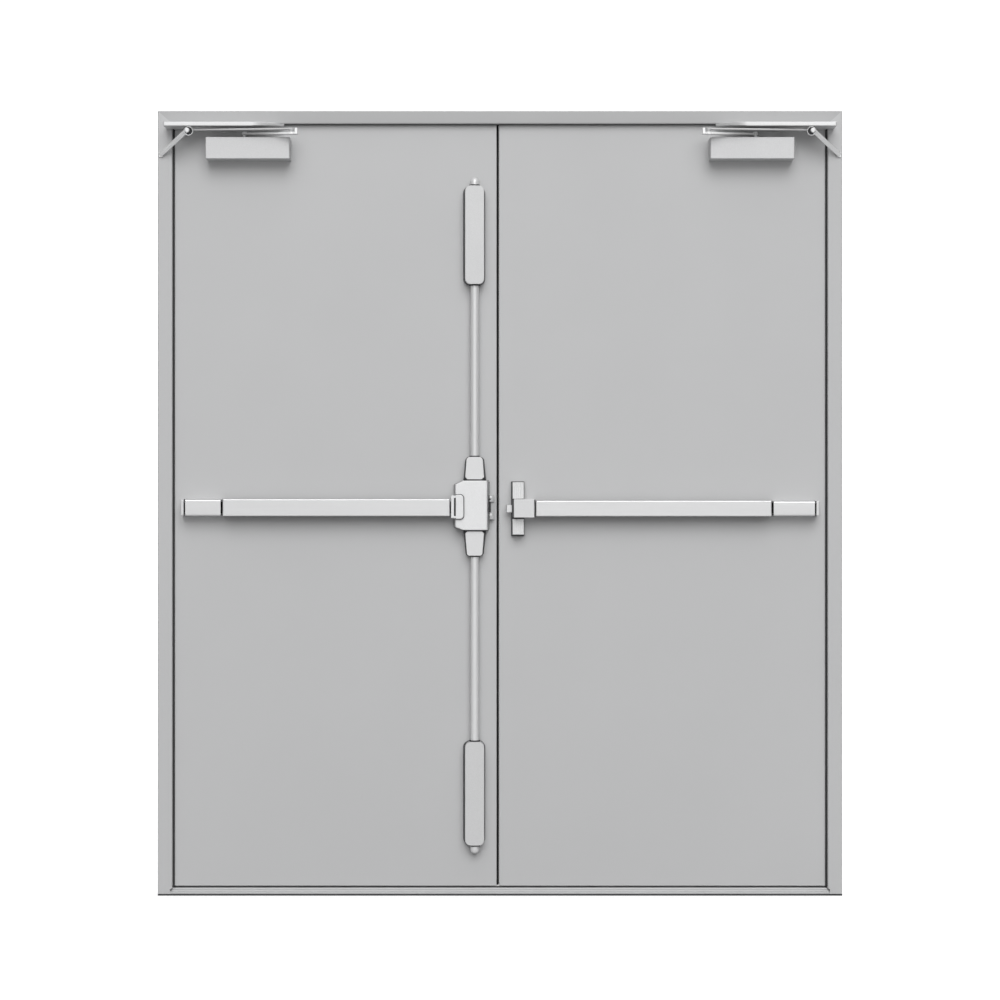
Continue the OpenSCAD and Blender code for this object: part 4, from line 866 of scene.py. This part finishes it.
# %% Brackets and stays
plate_x0, plate_x1, plate_bow = -X_PIN - 5.5, -X_PIN + 325, 84
bow_t = np.linspace(0, 1, 15)
bow = np.stack([plate_x1 + plate_bow * (bow_t - 1),
                BRACKET_Y + (Y_FRONT - 0.5 - BRACKET_Y) * bow_t ** 1.7], 1)
corner_w = np.linspace(math.pi, 1.5 * math.pi, 7)
round_end = np.array([plate_x0 + 4, BRACKET_Y + 4]) + 4 * np.stack([np.cos(corner_w), np.sin(corner_w)], 1)
plate = np.concatenate([[[plate_x0, Y_FRONT - 0.5]], round_end, bow,
                        [[plate_x1, Y_STOP], [plate_x1 - plate_bow, Y_STOP], [-X_STOP + 3, Y_STOP],
                         [-X_STOP + 3, Y_FRONT - 0.5]]])


def plate_ring(d, z, rise):
    """Plan of the plate at height z, where the part behind the bow is higher by the rise."""
    o = inset(plate, d)
    return plan(o, z + rise * np.clip((o[:, 0] - plate_x1 + plate_bow) / plate_bow, 0, 1))


plate_rings = [plate_ring(d, z, 8.0) for z, d in nose(BRACKET_Z, 1.5, 1, 4)]
plate_rings += [plate_ring(d, z, 3.2) for z, d in nose(BRACKET_Z + 11, 1.5, -1, 4)[::-1]]
EYE = np.array([PIVOT[0] + 2, EYE_Z])
RING = EYE + [3.9, -2.2]
FOOT = np.array([-X_OUT + 9.5, EYE_Z - 60])


def stay(a, b, ya, yb, width, t):
    """Bar from the eye to the jamb: a section with a groove in its face, set at both ends
    square to the bar as seen from the front."""
    d = (b - a) / np.linalg.norm(b - a)
    w = np.array([-d[1], d[0]])
    h = width / 2
    s = np.array([[-h, 0.9], [-h + 0.9, 0], [-2.2, 0], [-1.2, 0.7], [1.2, 0.7], [2.2, 0], [h - 0.9, 0],
                  [h, 0.9], [h, t - 0.6], [h - 0.6, t], [-h + 0.6, t], [-h, t - 0.6]])
    rings = [np.stack([p[0] + s[:, 0] * w[0], y + s[:, 1], p[1] + s[:, 0] * w[1]], 1)
             for p, y in ((a, ya), (b, yb))]
    return skin(np.stack(rings))


def eye_ring(centre, r_in, r_out, y0, y1, sunk):
    """Raised ring round a sunk face: circles out to the rim, over it and down to the face."""
    levels = [(r_out, y1), (r_out, y0 + 0.6), (r_out - 0.6, y0),
              (r_in + 0.5, y0), (r_in, y0 + 0.5), (r_in, sunk)]
    return skin(np.stack([front(disc(centre, r, 32), y) for r, y in levels]))


stay_way = (FOOT - EYE) / np.linalg.norm(FOOT - EYE)
bracket_parts = [
    skin(np.stack(plate_rings)),
    slab(-X_STOP + 3, plate_x1, Y_FRONT, Y_STOP, BRACKET_Z + 9, Z_STOP),
    tube(PIVOT, 5, plan, [(FORE_Z - 3, 0), (BRACKET_Z + 1, 0)]),
    tube(PIVOT, 8, plan, nose(FORE_Z - 3.5, 0.8, 1) + [(FORE_Z - 0.5, 0)]),
    slab(EYE[0] - 2, EYE[0] + 10, BRACKET_Y + 9, BRACKET_Y + 13, EYE_Z - 4, BRACKET_Z + 3),
    eye_ring(RING, 10.8, 12.6, BRACKET_Y + 2.6, BRACKET_Y + 11, BRACKET_Y + 8),
    tube(EYE, 6.8, front, nose(BRACKET_Y, 2.2, 1, 6) + [(BRACKET_Y + 8.5, 0)]),
    stay(EYE, FOOT + 4 * stay_way, BRACKET_Y + 1.3, Y_FRONT - 5.6, 13, 4.8),
    slab(FOOT[0] - 6.4, FOOT[0] + 6.4, Y_FRONT - 4, Y_FRONT, FOOT[1] - 7, FOOT[1] + 7),
]
# Black disc inside the eye's ring: painted shade.
eye_shade = [tube(RING, 10.7, front, [(BRACKET_Y + 7.4, 0), (BRACKET_Y + 8.4, 0)])]
for name, sign in SIDES:
    make(name + "_eye_shade", mirrored(eye_shade, sign), "frame", SHADE_BLACK, bevel=0)
    make(name + "_bracket_plate", mirrored(bracket_parts, sign), "frame", SILVER,
         [name + "_closer_bracket"], bevel=0.3)

# %% [markdown]
# The push bars and their rails
# A push bar is a channel of satin steel with its flanges towards the leaf. Its shell runs
# from the rounded front over the outer wall to the lip and back inside, and the depth of
# the wall may differ from point to point, so the end walls are short and the flanges deep.
# Covers close the ends of the rail, each with a cap beyond a groove, whose black plug is
# painted shade. The right bar is a little lower and slimmer than the left one.

# %% Push bars
def push_bar(x0, x1, guides, z, height):
    """Channel with rounded front edges and two guide pins. The wall is deep along the long
    sides of the outline and shallow at its ends."""
    o = box_outline(x0, x1, z - height / 2, z + height / 2, 3.2, 4)
    y0 = Y_LEAF - BAR_D
    back = np.where(np.abs(o[:, 1] - z) > height / 2 - 3.3, y0 + 34, y0 + 9.5)
    levels = nose(y0, 3.0, 1, 6) + [(back, 0), (back, 2.4), (y0 + 3.2, 2.4)]
    shell = skin(np.stack([front(inset(o, d), y) for y, d in levels]))
    pins = [tube((x, z), 4, front, [(y0 + 2, 0), (Y_LEAF - 20, 0), (Y_LEAF - 19, 1)]) for x in guides]
    return [shell] + pins


left_end, right_end = CLIP_X - 3, HEAD_X + HEAD_W + 3.8
make("left_bar_channel", push_bar(BAR_L, left_end, (BAR_L + 70, left_end - 70), BAR_Z, BAR_H), "left_bar",
     BAR_STEEL, ["left_push_bar"], bevel=0)
make("right_bar_channel", push_bar(right_end, BAR_R, (right_end + 70, BAR_R - 70), RIGHT_Z, RIGHT_BAR_H),
     "right_bar", BAR_STEEL, ["right_push_bar"], bevel=0)

# %% Rail covers and end caps
def sleeve(x0, x1, z, height, r=2.8, t=2.4):
    """Cover that is open at its ends and behind: a bent sheet section carried along X."""
    y0, h = Y_LEAF - COVER_D, height / 2 - t / 2
    section = bent([[Y_LEAF, z - h], [y0 + t / 2, z - h], [y0 + t / 2, z + h], [Y_LEAF, z + h]], r + t / 2, t)
    return skin(np.stack([side(section, x0), side(section, x1)]))


def end_cap(x0, way, z, height):
    """Moulded cap: its section is a rectangle with rounded front corners, smaller at the
    outer end. A plug, well inside the groove, fills the sleeve."""
    y0, h = Y_LEAF - COVER_D, height / 2
    o = rounded([[Y_LEAF, z - h], [y0, z - h], [y0, z + h], [Y_LEAF, z + h]], [0, 4, 4, 0], 6)
    plug = rounded([[Y_LEAF, z - h + 8], [y0 + 8, z - h + 8], [y0 + 8, z + h - 8], [Y_LEAF, z + h - 8]],
                   [0, 2, 2, 0], 4)
    rings = []
    for x, d in nose(x0, 2.2, way, 5) + [(x0 + way * 8.0, 0)]:
        ring = side(inset(o, d), x)
        ring[ring[:, 1] > Y_LEAF - 2.5, 1] = Y_LEAF
        rings.append(ring)
    return skin(np.stack(rings)), skin(np.stack([side(plug, x) for x in (x0 + way * 7.9, x0 + way * 22.8)]))


make("left_cover_sleeve", [sleeve(COVER_L, COVER_L + COVER_LEN_L, BAR_Z, COVER_H)], "left_leaf",
     CAP_STEEL, ["left_rail_cover"], bevel=0.2)
make("right_cover_sleeve", [sleeve(COVER_R - COVER_LEN_R, COVER_R, RIGHT_Z, RIGHT_COVER_H)], "right_leaf",
     CAP_STEEL, ["right_rail_cover"], bevel=0.2)
for name, x, way, z, height in (("left", CAP_L, 1, BAR_Z, COVER_H),
                                ("right", CAP_R, -1, RIGHT_Z, RIGHT_COVER_H)):
    shell, plug = end_cap(x, way, z, height)
    make(name + "_moulded_cap", [shell], name + "_leaf", CAP_SILVER,
         [name + "_end_cap"], bevel=0)
    # The plug is black as painted shade in the groove.
    make(name + "_cap_shade_plug", [plug], name + "_leaf", SHADE_BLACK, bevel=0)

# %% [markdown]
# The centre case
# The case of the rod device is a die casting with cut corners on the side of the bar and a
# sloping wall on each side. A draft like that is a formula: the deeper a point on a side
# lies, the further out it stands. The case stands on a black base 12 mm deep, a little wider
# than itself, which is painted shade and shows as a thin dark rim. A clip with round corners
# holds the bar's rail and laps over the face of the case, with a groove in it lined with
# black and a black edge round its tongue, both painted shade.

# %% Centre case
CASE_IN, CASE_FOOT = 4.5, 5.4


def drafted(points, y):
    """Place of the case outline at depth y: points on the upright sides move outwards in
    step with their depth, less on the bar side than on the meeting side."""
    made = front(points, y)
    share = (np.broadcast_to(y, len(points)) - y_case) / CASE_D
    made[:, 0] += np.where(points[:, 0] > CASE_X + CASE_W - 8, CASE_FOOT * share, 0)
    made[:, 0] -= np.where(points[:, 0] < CASE_X + 8, CASE_IN * share, 0)
    return made


def bore(r, a, b):
    """Round bar on the line of the rods from height a to height b, to drill with."""
    return tube((ROD_X, ROD_Y), r, plan, [(a, 0), (b, 0)])


z0, z1 = CASE_Z - CASE_H / 2, CASE_Z + CASE_H / 2
y_case = Y_LEAF - CASE_D
case_o = rounded([[CASE_X, z0 + 8.5], [CASE_X + 22, z0], [CASE_X + CASE_W, z0], [CASE_X + CASE_W, z1],
                  [CASE_X + 22, z1], [CASE_X, z1 - 11]], [3, 5, 3, 3, 5, 3], 5)
case = make("left_case_casting", [skin(stack(case_o, drafted, nose(y_case, 2.2, 1, 6) + [(Y_SHELL, 0)]))],
            "left_leaf", SILVER, ["left_centre_case"], bevel=0)
drill(case, [bore(ROD_R + 1, a, b) for a, b in ((z0 - 1, z0 + 27), (z1 - 27, z1 + 1))])
# Black base round the case: painted shade.
make("left_case_shade_base", [skin(stack(case_o, drafted, [(Y_BASE, -0.8), (Y_LEAF, -0.8)]))],
     "left_leaf", SHADE_BASE, bevel=0)

# %% Clip
clip_z = BAR_Z - CLIP_H / 2 + 1.8
y_clip = y_case - 9
groove_x = CLIP_X + 8.6
strip_o = box_outline(CLIP_X, groove_x, clip_z + 2, clip_z + CLIP_H - 2, 1.8, 5)
tongue_o = rounded([[groove_x + 4.4, clip_z], [CLIP_X + CLIP_W, clip_z], [CLIP_X + CLIP_W, clip_z + CLIP_H],
                    [groove_x + 4.4, clip_z + CLIP_H]], [1.7, 9, 9, 1.7], 7)
bridges = [skin(stack(box_outline(groove_x - 1, groove_x + 6, a, b, 0.5, 2), front,
                      [(y_clip + 0.5, 0), (y_case, 0)]))
           for a, b in ((clip_z + 2, clip_z + 8.2), (clip_z + CLIP_H - 8.5, clip_z + CLIP_H - 2))]
make("left_clip_cover", [skin(stack(strip_o, front, nose(y_clip, 1.4, 1, 5) + [(Y_LEAF, 0)])),
                         skin(stack(tongue_o, front, nose(y_clip, 1.6, 1, 6) + [(y_case, 0)]))] + bridges,
     "left_leaf", SILVER, ["left_case_clip"], bevel=0)
# Black lining in the groove and round the tongue: painted shade.
groove_o = box_outline(groove_x - 2, groove_x + 7, clip_z + 3, clip_z + CLIP_H - 3, 1, 3)
make("left_clip_shade_groove", [skin(stack(groove_o, front, [(y_clip + 3, 0), (y_case + 3, 0)])),
                          skin(stack(inset(tongue_o, -1.7), front, [(y_clip + 4, 0), (y_case + 1, 0)]))],
     "left_leaf", SHADE_BLACK, bevel=0)

# %% [markdown]
# The tapered covers
# Where a rod leaves the case, a cover tapers away from it. Its side walls slope towards the
# face, which stands as a raised panel with cut corners at the case. Its outline is worked
# out again at each depth: the sides come in, the cuts at the wide end grow, and that end
# stays upright against a black gasket, which is painted shade in the gap. The rod passes
# through a bush at the narrow end, black as painted shade, and the cover stands on a black
# base like the case, painted shade as well.

# %% Tapered covers
def taper_ring(z_wide, z_end, w_wide, w_end, r, y, d):
    """Outline of a cover where its sides have come in by d: the wide end keeps its height,
    its corners are cut by about d, and the narrow end comes in by less."""
    way = 1 if z_end > z_wide else -1
    a, b, cut, far = w_wide / 2 - d, w_end / 2 - 0.72 * d, 0.8 + 0.9 * d, z_end - way * d / 6
    o = rounded([[ROD_X - a + cut, z_wide], [ROD_X - a, z_wide + way * cut], [ROD_X - b, far], [ROD_X + b, far],
                 [ROD_X + a, z_wide + way * cut], [ROD_X + a - cut, z_wide]],
                [0.4, 0.4, r - d / 2, r - d / 2, 0.4, 0.4], 7)
    return front(o, y)


def bush(z_a, z_b, r_in, r_out):
    """Ring round a rod: circles out, up, in and down, joined all round."""
    rings = [plan(disc((ROD_X, ROD_Y), r, 40), z)
             for r, z in ((r_out, z_a), (r_out, z_b), (r_in, z_b), (r_in, z_a))]
    return skin(np.stack(rings), wrap=True)


TAPER_WIDE, TAPER_D = 63.5, 40
TAPERS = (("upper", z1 + 3.8, z1 + 67.4, 52, 13), ("lower", z0 - 3.8, z0 - 72.4, 50, 10))
bushes, shade_rims = [], []
for name, z_wide, z_end, w_end, r_end in TAPERS:
    levels = [(y, d + 5.6) for y, d in nose(Y_LEAF - TAPER_D, 1.0, 1, 5)] + [(Y_SHELL, 5.2)]
    face, shade_rim = [skin(np.stack([taper_ring(z_wide, z_end, TAPER_WIDE, w_end, r_end, y, d) for y, d in rows]))
                 for rows in (levels, [(Y_BASE, 0.3), (Y_LEAF, 0)])]
    cover = make("left_" + name + "_taper", [face], "left_leaf", TAPER_SILVER,
                 ["left_" + name + "_cover"], bevel=0)
    drill(cover, [bore(ROD_BORE, min(z_wide, z_end) - 1, max(z_wide, z_end) + 1)])
    shade_rims.append(shade_rim)
    out = 1 if z_end > z_wide else -1
    bushes.append(bush(z_end - out * 1.5, z_end + out * 2.2, ROD_R + 0.4, ROD_R + 2.6))

# Black gaskets between the case and the covers: painted shade in the gaps.
shade_gaskets = make("left_case_shade_gaskets", [slab(ROD_X - 31.4, ROD_X + 31.4, Y_LEAF - 39, Y_LEAF, a, b)
                                     for a, b in ((z0 - 4.4, z0 + 0.6), (z1 - 0.6, z1 + 4.4))],
               "left_leaf", SHADE_BLACK, bevel=0)
drill(shade_gaskets, [bore(ROD_BORE, a, b) for a, b in ((z0 - 6, z0 + 2), (z1 - 2, z1 + 6))])

# %% [markdown]
# Rods and rod guides
# The rods are drawn steel. Each ends in a thicker bolt with a domed tip that stands out of
# its guide. A guide is a long moulded cover with generous round corners and drafted sides,
# on a black base like the case, which is painted shade, set a little to the left as a
# painted shadow. A rod is a circle carried along its height with its radius as a function of
# the height, like a lathe job.

# %% Rods and guides
def turned(heights, radii, n=40):
    """Lathe job: a circle of the given radius at each height, round the line of the rods."""
    return skin(np.stack([plan(disc((ROD_X, ROD_Y), r, n), z) for z, r in zip(heights, radii)]))


dome_w = np.linspace(0, math.pi / 2, 8)
rod_radii = np.concatenate([[ROD_R, ROD_R, TIP_R], 4 + (TIP_R - 4) * np.cos(dome_w)])
for name, way, inner_end, tip, neck, dome in (("upper", 1, z1 - 12, GUIDE_UP[1], 6, 16),
                                              ("lower", -1, z0 + 12, GUIDE_LOW[0], 9, 14)):
    heights = np.concatenate([[inner_end, tip - way * 90, tip - way * 89],
                              tip + way * neck + way * dome * np.sin(dome_w)])
    make("left_" + name + "_rod_turned", [turned(heights, rod_radii)], name + "_rod", ROD_STEEL,
         ["left_" + name + "_rod"], bevel=0.5)


def guide_ring(low, high, y, d):
    """Outline of a guide where its sides have come in by d and its ends by a quarter of it."""
    half = GUIDE_W / 2 - d
    return front(box_outline(ROD_X - half, ROD_X + half, low + d / 4, high - d / 4, 19 - 0.7 * d, 10), y)


# The guide's black base sits further to the left: painted shadow.
SHADOW_SHIFT = 1.6
for name, (low, high) in (("upper", GUIDE_UP), ("lower", GUIDE_LOW)):
    levels = [(y, d + 4.2) for y, d in nose(Y_LEAF - GUIDE_D, 1.6, 1, 6)] + [(Y_SHELL, 3.9)]
    shade_rims.append(skin(np.stack([guide_ring(low, high, y, d) - [SHADOW_SHIFT, 0, 0]
                               for y, d in ((Y_BASE, 0.4), (Y_LEAF, 0))])))
    guide = make("left_" + name + "_guide_cover",
                 [skin(np.stack([guide_ring(low, high, y, d) for y, d in levels]))],
                 "left_leaf", GUIDE_SILVER, ["left_" + name + "_guide"], bevel=0)
    drill(guide, [bore(TIP_BORE, low - 1, high + 1)])
    inner = ROD_R + 0.4 if name == "upper" else TIP_R + 0.35
    outer = TIP_R + 0.35 if name == "upper" else ROD_R + 0.4
    bushes.append(bush(low - 2.4, low + 1.5, inner, TIP_R + 2.2))
    bushes.append(bush(high - 1.5, high + 2.4, outer, TIP_R + 2.2))

# Black bushes: painted shade at the ends of covers and guides.
make("left_rod_bushes", bushes, "left_leaf", SHADE_BLACK, bevel=0)
# Black bases: painted shade round the covers and guides.
shade_bases = make("left_cover_shade_bases", shade_rims, "left_leaf", SHADE_BASE, bevel=0)
drill(shade_bases, [bore(ROD_BORE, z0 - 75, z0), bore(ROD_BORE, z1, z1 + 70),
              bore(TIP_BORE, GUIDE_UP[0] - 2, GUIDE_UP[1] + 2),
              bore(TIP_BORE, GUIDE_LOW[0] - 2, GUIDE_LOW[1] + 2)])

# %% [markdown]
# Strike, head case, blocks and latch
# The right device latches into a strike on the left leaf, a small plate with a pocket that
# is open to the right, a black slot and a small black mark on its left, and a screw near each
# end. The plate's dark metal is painted shade beside the case, the black of the slot is
# painted shade, and the small black mark is a painted shadow of the upper screw. The head
# case sits between two cast blocks with upright ribs, on one black base with them that is
# painted shade. It has a black flange beside the latch and a black buffer towards the bar,
# both painted shade in the gaps. The ribs are a wave along X in the outline of the block,
# carried up its height.

# %% Strike and its screws
strike_x0, strike_x1 = MEET_LEFT - 18.0, MEET_LEFT - 5.2
strike_z, slot_z, slot_h = BAR_Z + 1.2, BAR_Z + 1.4, 14.8
y_strike = Y_LEAF - 20
strike_o = box_outline(strike_x0, strike_x1, strike_z - 35, strike_z + 35, 3, 5)
# The strike takes the darker sill metal: painted shade beside the case.
strike = make("left_strike_plate", [skin(stack(strike_o, front, nose(y_strike, 1.2, 1, 4) + [(Y_LEAF, 0)]))],
              "left_leaf", SILL_AND_SHADED_STRIKE_METAL, ["left_strike"], bevel=0)
pocket_o = box_outline(strike_x0 + 3, strike_x1 + 3, slot_z - slot_h, slot_z + slot_h, 1, 3)
drill(strike, [skin(stack(pocket_o, front, [(y_strike - 2, 0), (y_strike + 7, 0)]))])
# Black slot and a black mark under the upper screw: painted shade and a painted shadow.
make("left_strike_slot_and_shadow", [skin(stack(box_outline(strike_x0 - 2.2, strike_x0 + 3.8, a, b, 0.9, 3), front,
                                     [(y_strike - 0.3, 0), (Y_LEAF - 4.2, 0)]))
                          for a, b in ((slot_z - slot_h, slot_z + slot_h), (slot_z + 19.5, slot_z + 24))],
     "left_leaf", SHADE_BLACK, bevel=0)


def domed_screw(x, z, y, r):
    """Domed screw head: a circle that shrinks with the cosine as it rises with the sine."""
    w = np.linspace(0, math.pi / 2 - 0.12, 7)
    return skin(np.stack([front(disc((x, z), r * math.cos(a), 24), y - 0.45 * r * math.sin(a)) for a in w]))


make("left_strike_screws", [domed_screw(strike_x0 + 3.5, z, y_strike + 0.1, 3.8) for z in
                            (strike_z - 21.5, strike_z + 27.5)],
     "left_leaf", BLOCK_METAL, bevel=0)

# %% Head case, ribbed blocks and latch bolt
y_head = Y_LEAF - HEAD_D
LATCH_Z = BAR_Z - 2.5
head_o = box_outline(HEAD_X, HEAD_X + HEAD_W, HEAD_Z - HEAD_CASE_H / 2, HEAD_Z + HEAD_CASE_H / 2, 1.8, 5)
head_case = make("right_head_casting", [skin(stack(head_o, front, nose(y_head, 1.3, 1, 5) + [(Y_LEAF, 0)]))],
                 "right_leaf", CAP_SILVER, ["right_head_case"], bevel=0)
latch_way = box_outline(HEAD_X - 2, HEAD_X + HEAD_W - 3, LATCH_Z - 11.6, LATCH_Z + 9.6, 0.8, 2)
drill(head_case, [skin(stack(latch_way, front, [(Y_LEAF - 33.3, 0), (Y_LEAF - 18.7, 0)]))])


def ribbed(z_low, height):
    """Cast block: its plan has a wave in front, 0.6 mm times the fourth power of a cosine,
    and its top and foot are rounded by rings that shrink."""
    x0, width, ribs, y_face, y_corner = HEAD_X - 3.5, 32.0, 6, Y_LEAF - 36, Y_LEAF - 34
    x = np.linspace(x0 + 1.5, x0 + width - 1.5, 73)
    wave = 0.6 * np.cos(math.pi * ribs * (x - x0) / width) ** 4
    face = np.stack([x, y_face + wave], 1)
    o = np.concatenate([[[x0 + width, y_corner], [x0 + width, Y_LEAF], [x0, Y_LEAF], [x0, y_corner]],
                        face])
    rings = []
    for z, d in [(z_low, 0.9), (z_low + 0.9, 0), (z_low + height - 0.9, 0), (z_low + height, 0.9)]:
        ring = plan(o, z)
        ring[:, 0] = np.clip(ring[:, 0], x0 + d, x0 + width - d)
        ring[:, 1] = np.maximum(ring[:, 1], y_face + (d + wave.max() if d else 0))
        rings.append(ring)
    return skin(np.stack(rings))


make("right_ribbed_blocks", [ribbed(BAR_Z + 24.2, 46.7), ribbed(BAR_Z - 76, 44.2)], "right_leaf",
     BLOCK_METAL, ["right_latch_blocks"], bevel=0)
# Black base and flange: painted shade round the blocks and beside the latch.
base_o = box_outline(HEAD_X - 7.4, HEAD_X + 29.8, BAR_Z - 80.5, BAR_Z + 73.2, 2, 4)
shade_flange = slab(HEAD_X - 5.4, HEAD_X + 0.3, Y_LEAF - 35.6, Y_LEAF - 34.1, HEAD_Z - 25, HEAD_Z + 25)
make("right_latch_shade_base", [skin(stack(base_o, front, [(Y_LEAF - 6, 0), (Y_LEAF, 0)])), shade_flange],
     "right_leaf", SHADE_BASE, bevel=0)
# Black buffer: painted shade in the gap to the bar.
make("right_bar_shade_buffer", [slab(HEAD_X + HEAD_W - 1, right_end - 0.8, Y_LEAF - BAR_D + 8, Y_LEAF - 4,
                               HEAD_Z - 24.5, HEAD_Z + 24.5)],
     "right_leaf", SHADE_BLACK, bevel=0)
bx, by = HEAD_X - 23.0, Y_LEAF - 26
bolt_o = rounded([[bx + 4, by - 7], [HEAD_X + 32, by - 7], [HEAD_X + 32, by + 7], [bx + 8, by + 7], [bx, by]],
                 [2, 0, 0, 3, 1.5], 5)
bolt_levels = nose(LATCH_Z - 11.2, 1.0, 1) + nose(LATCH_Z + 9.25, 1.0, -1)[::-1]
make("right_latch_tongue", [skin(stack(bolt_o, plan, bolt_levels))],
     "latch_bolt", ROD_STEEL, ["right_latch_bolt"], bevel=0)
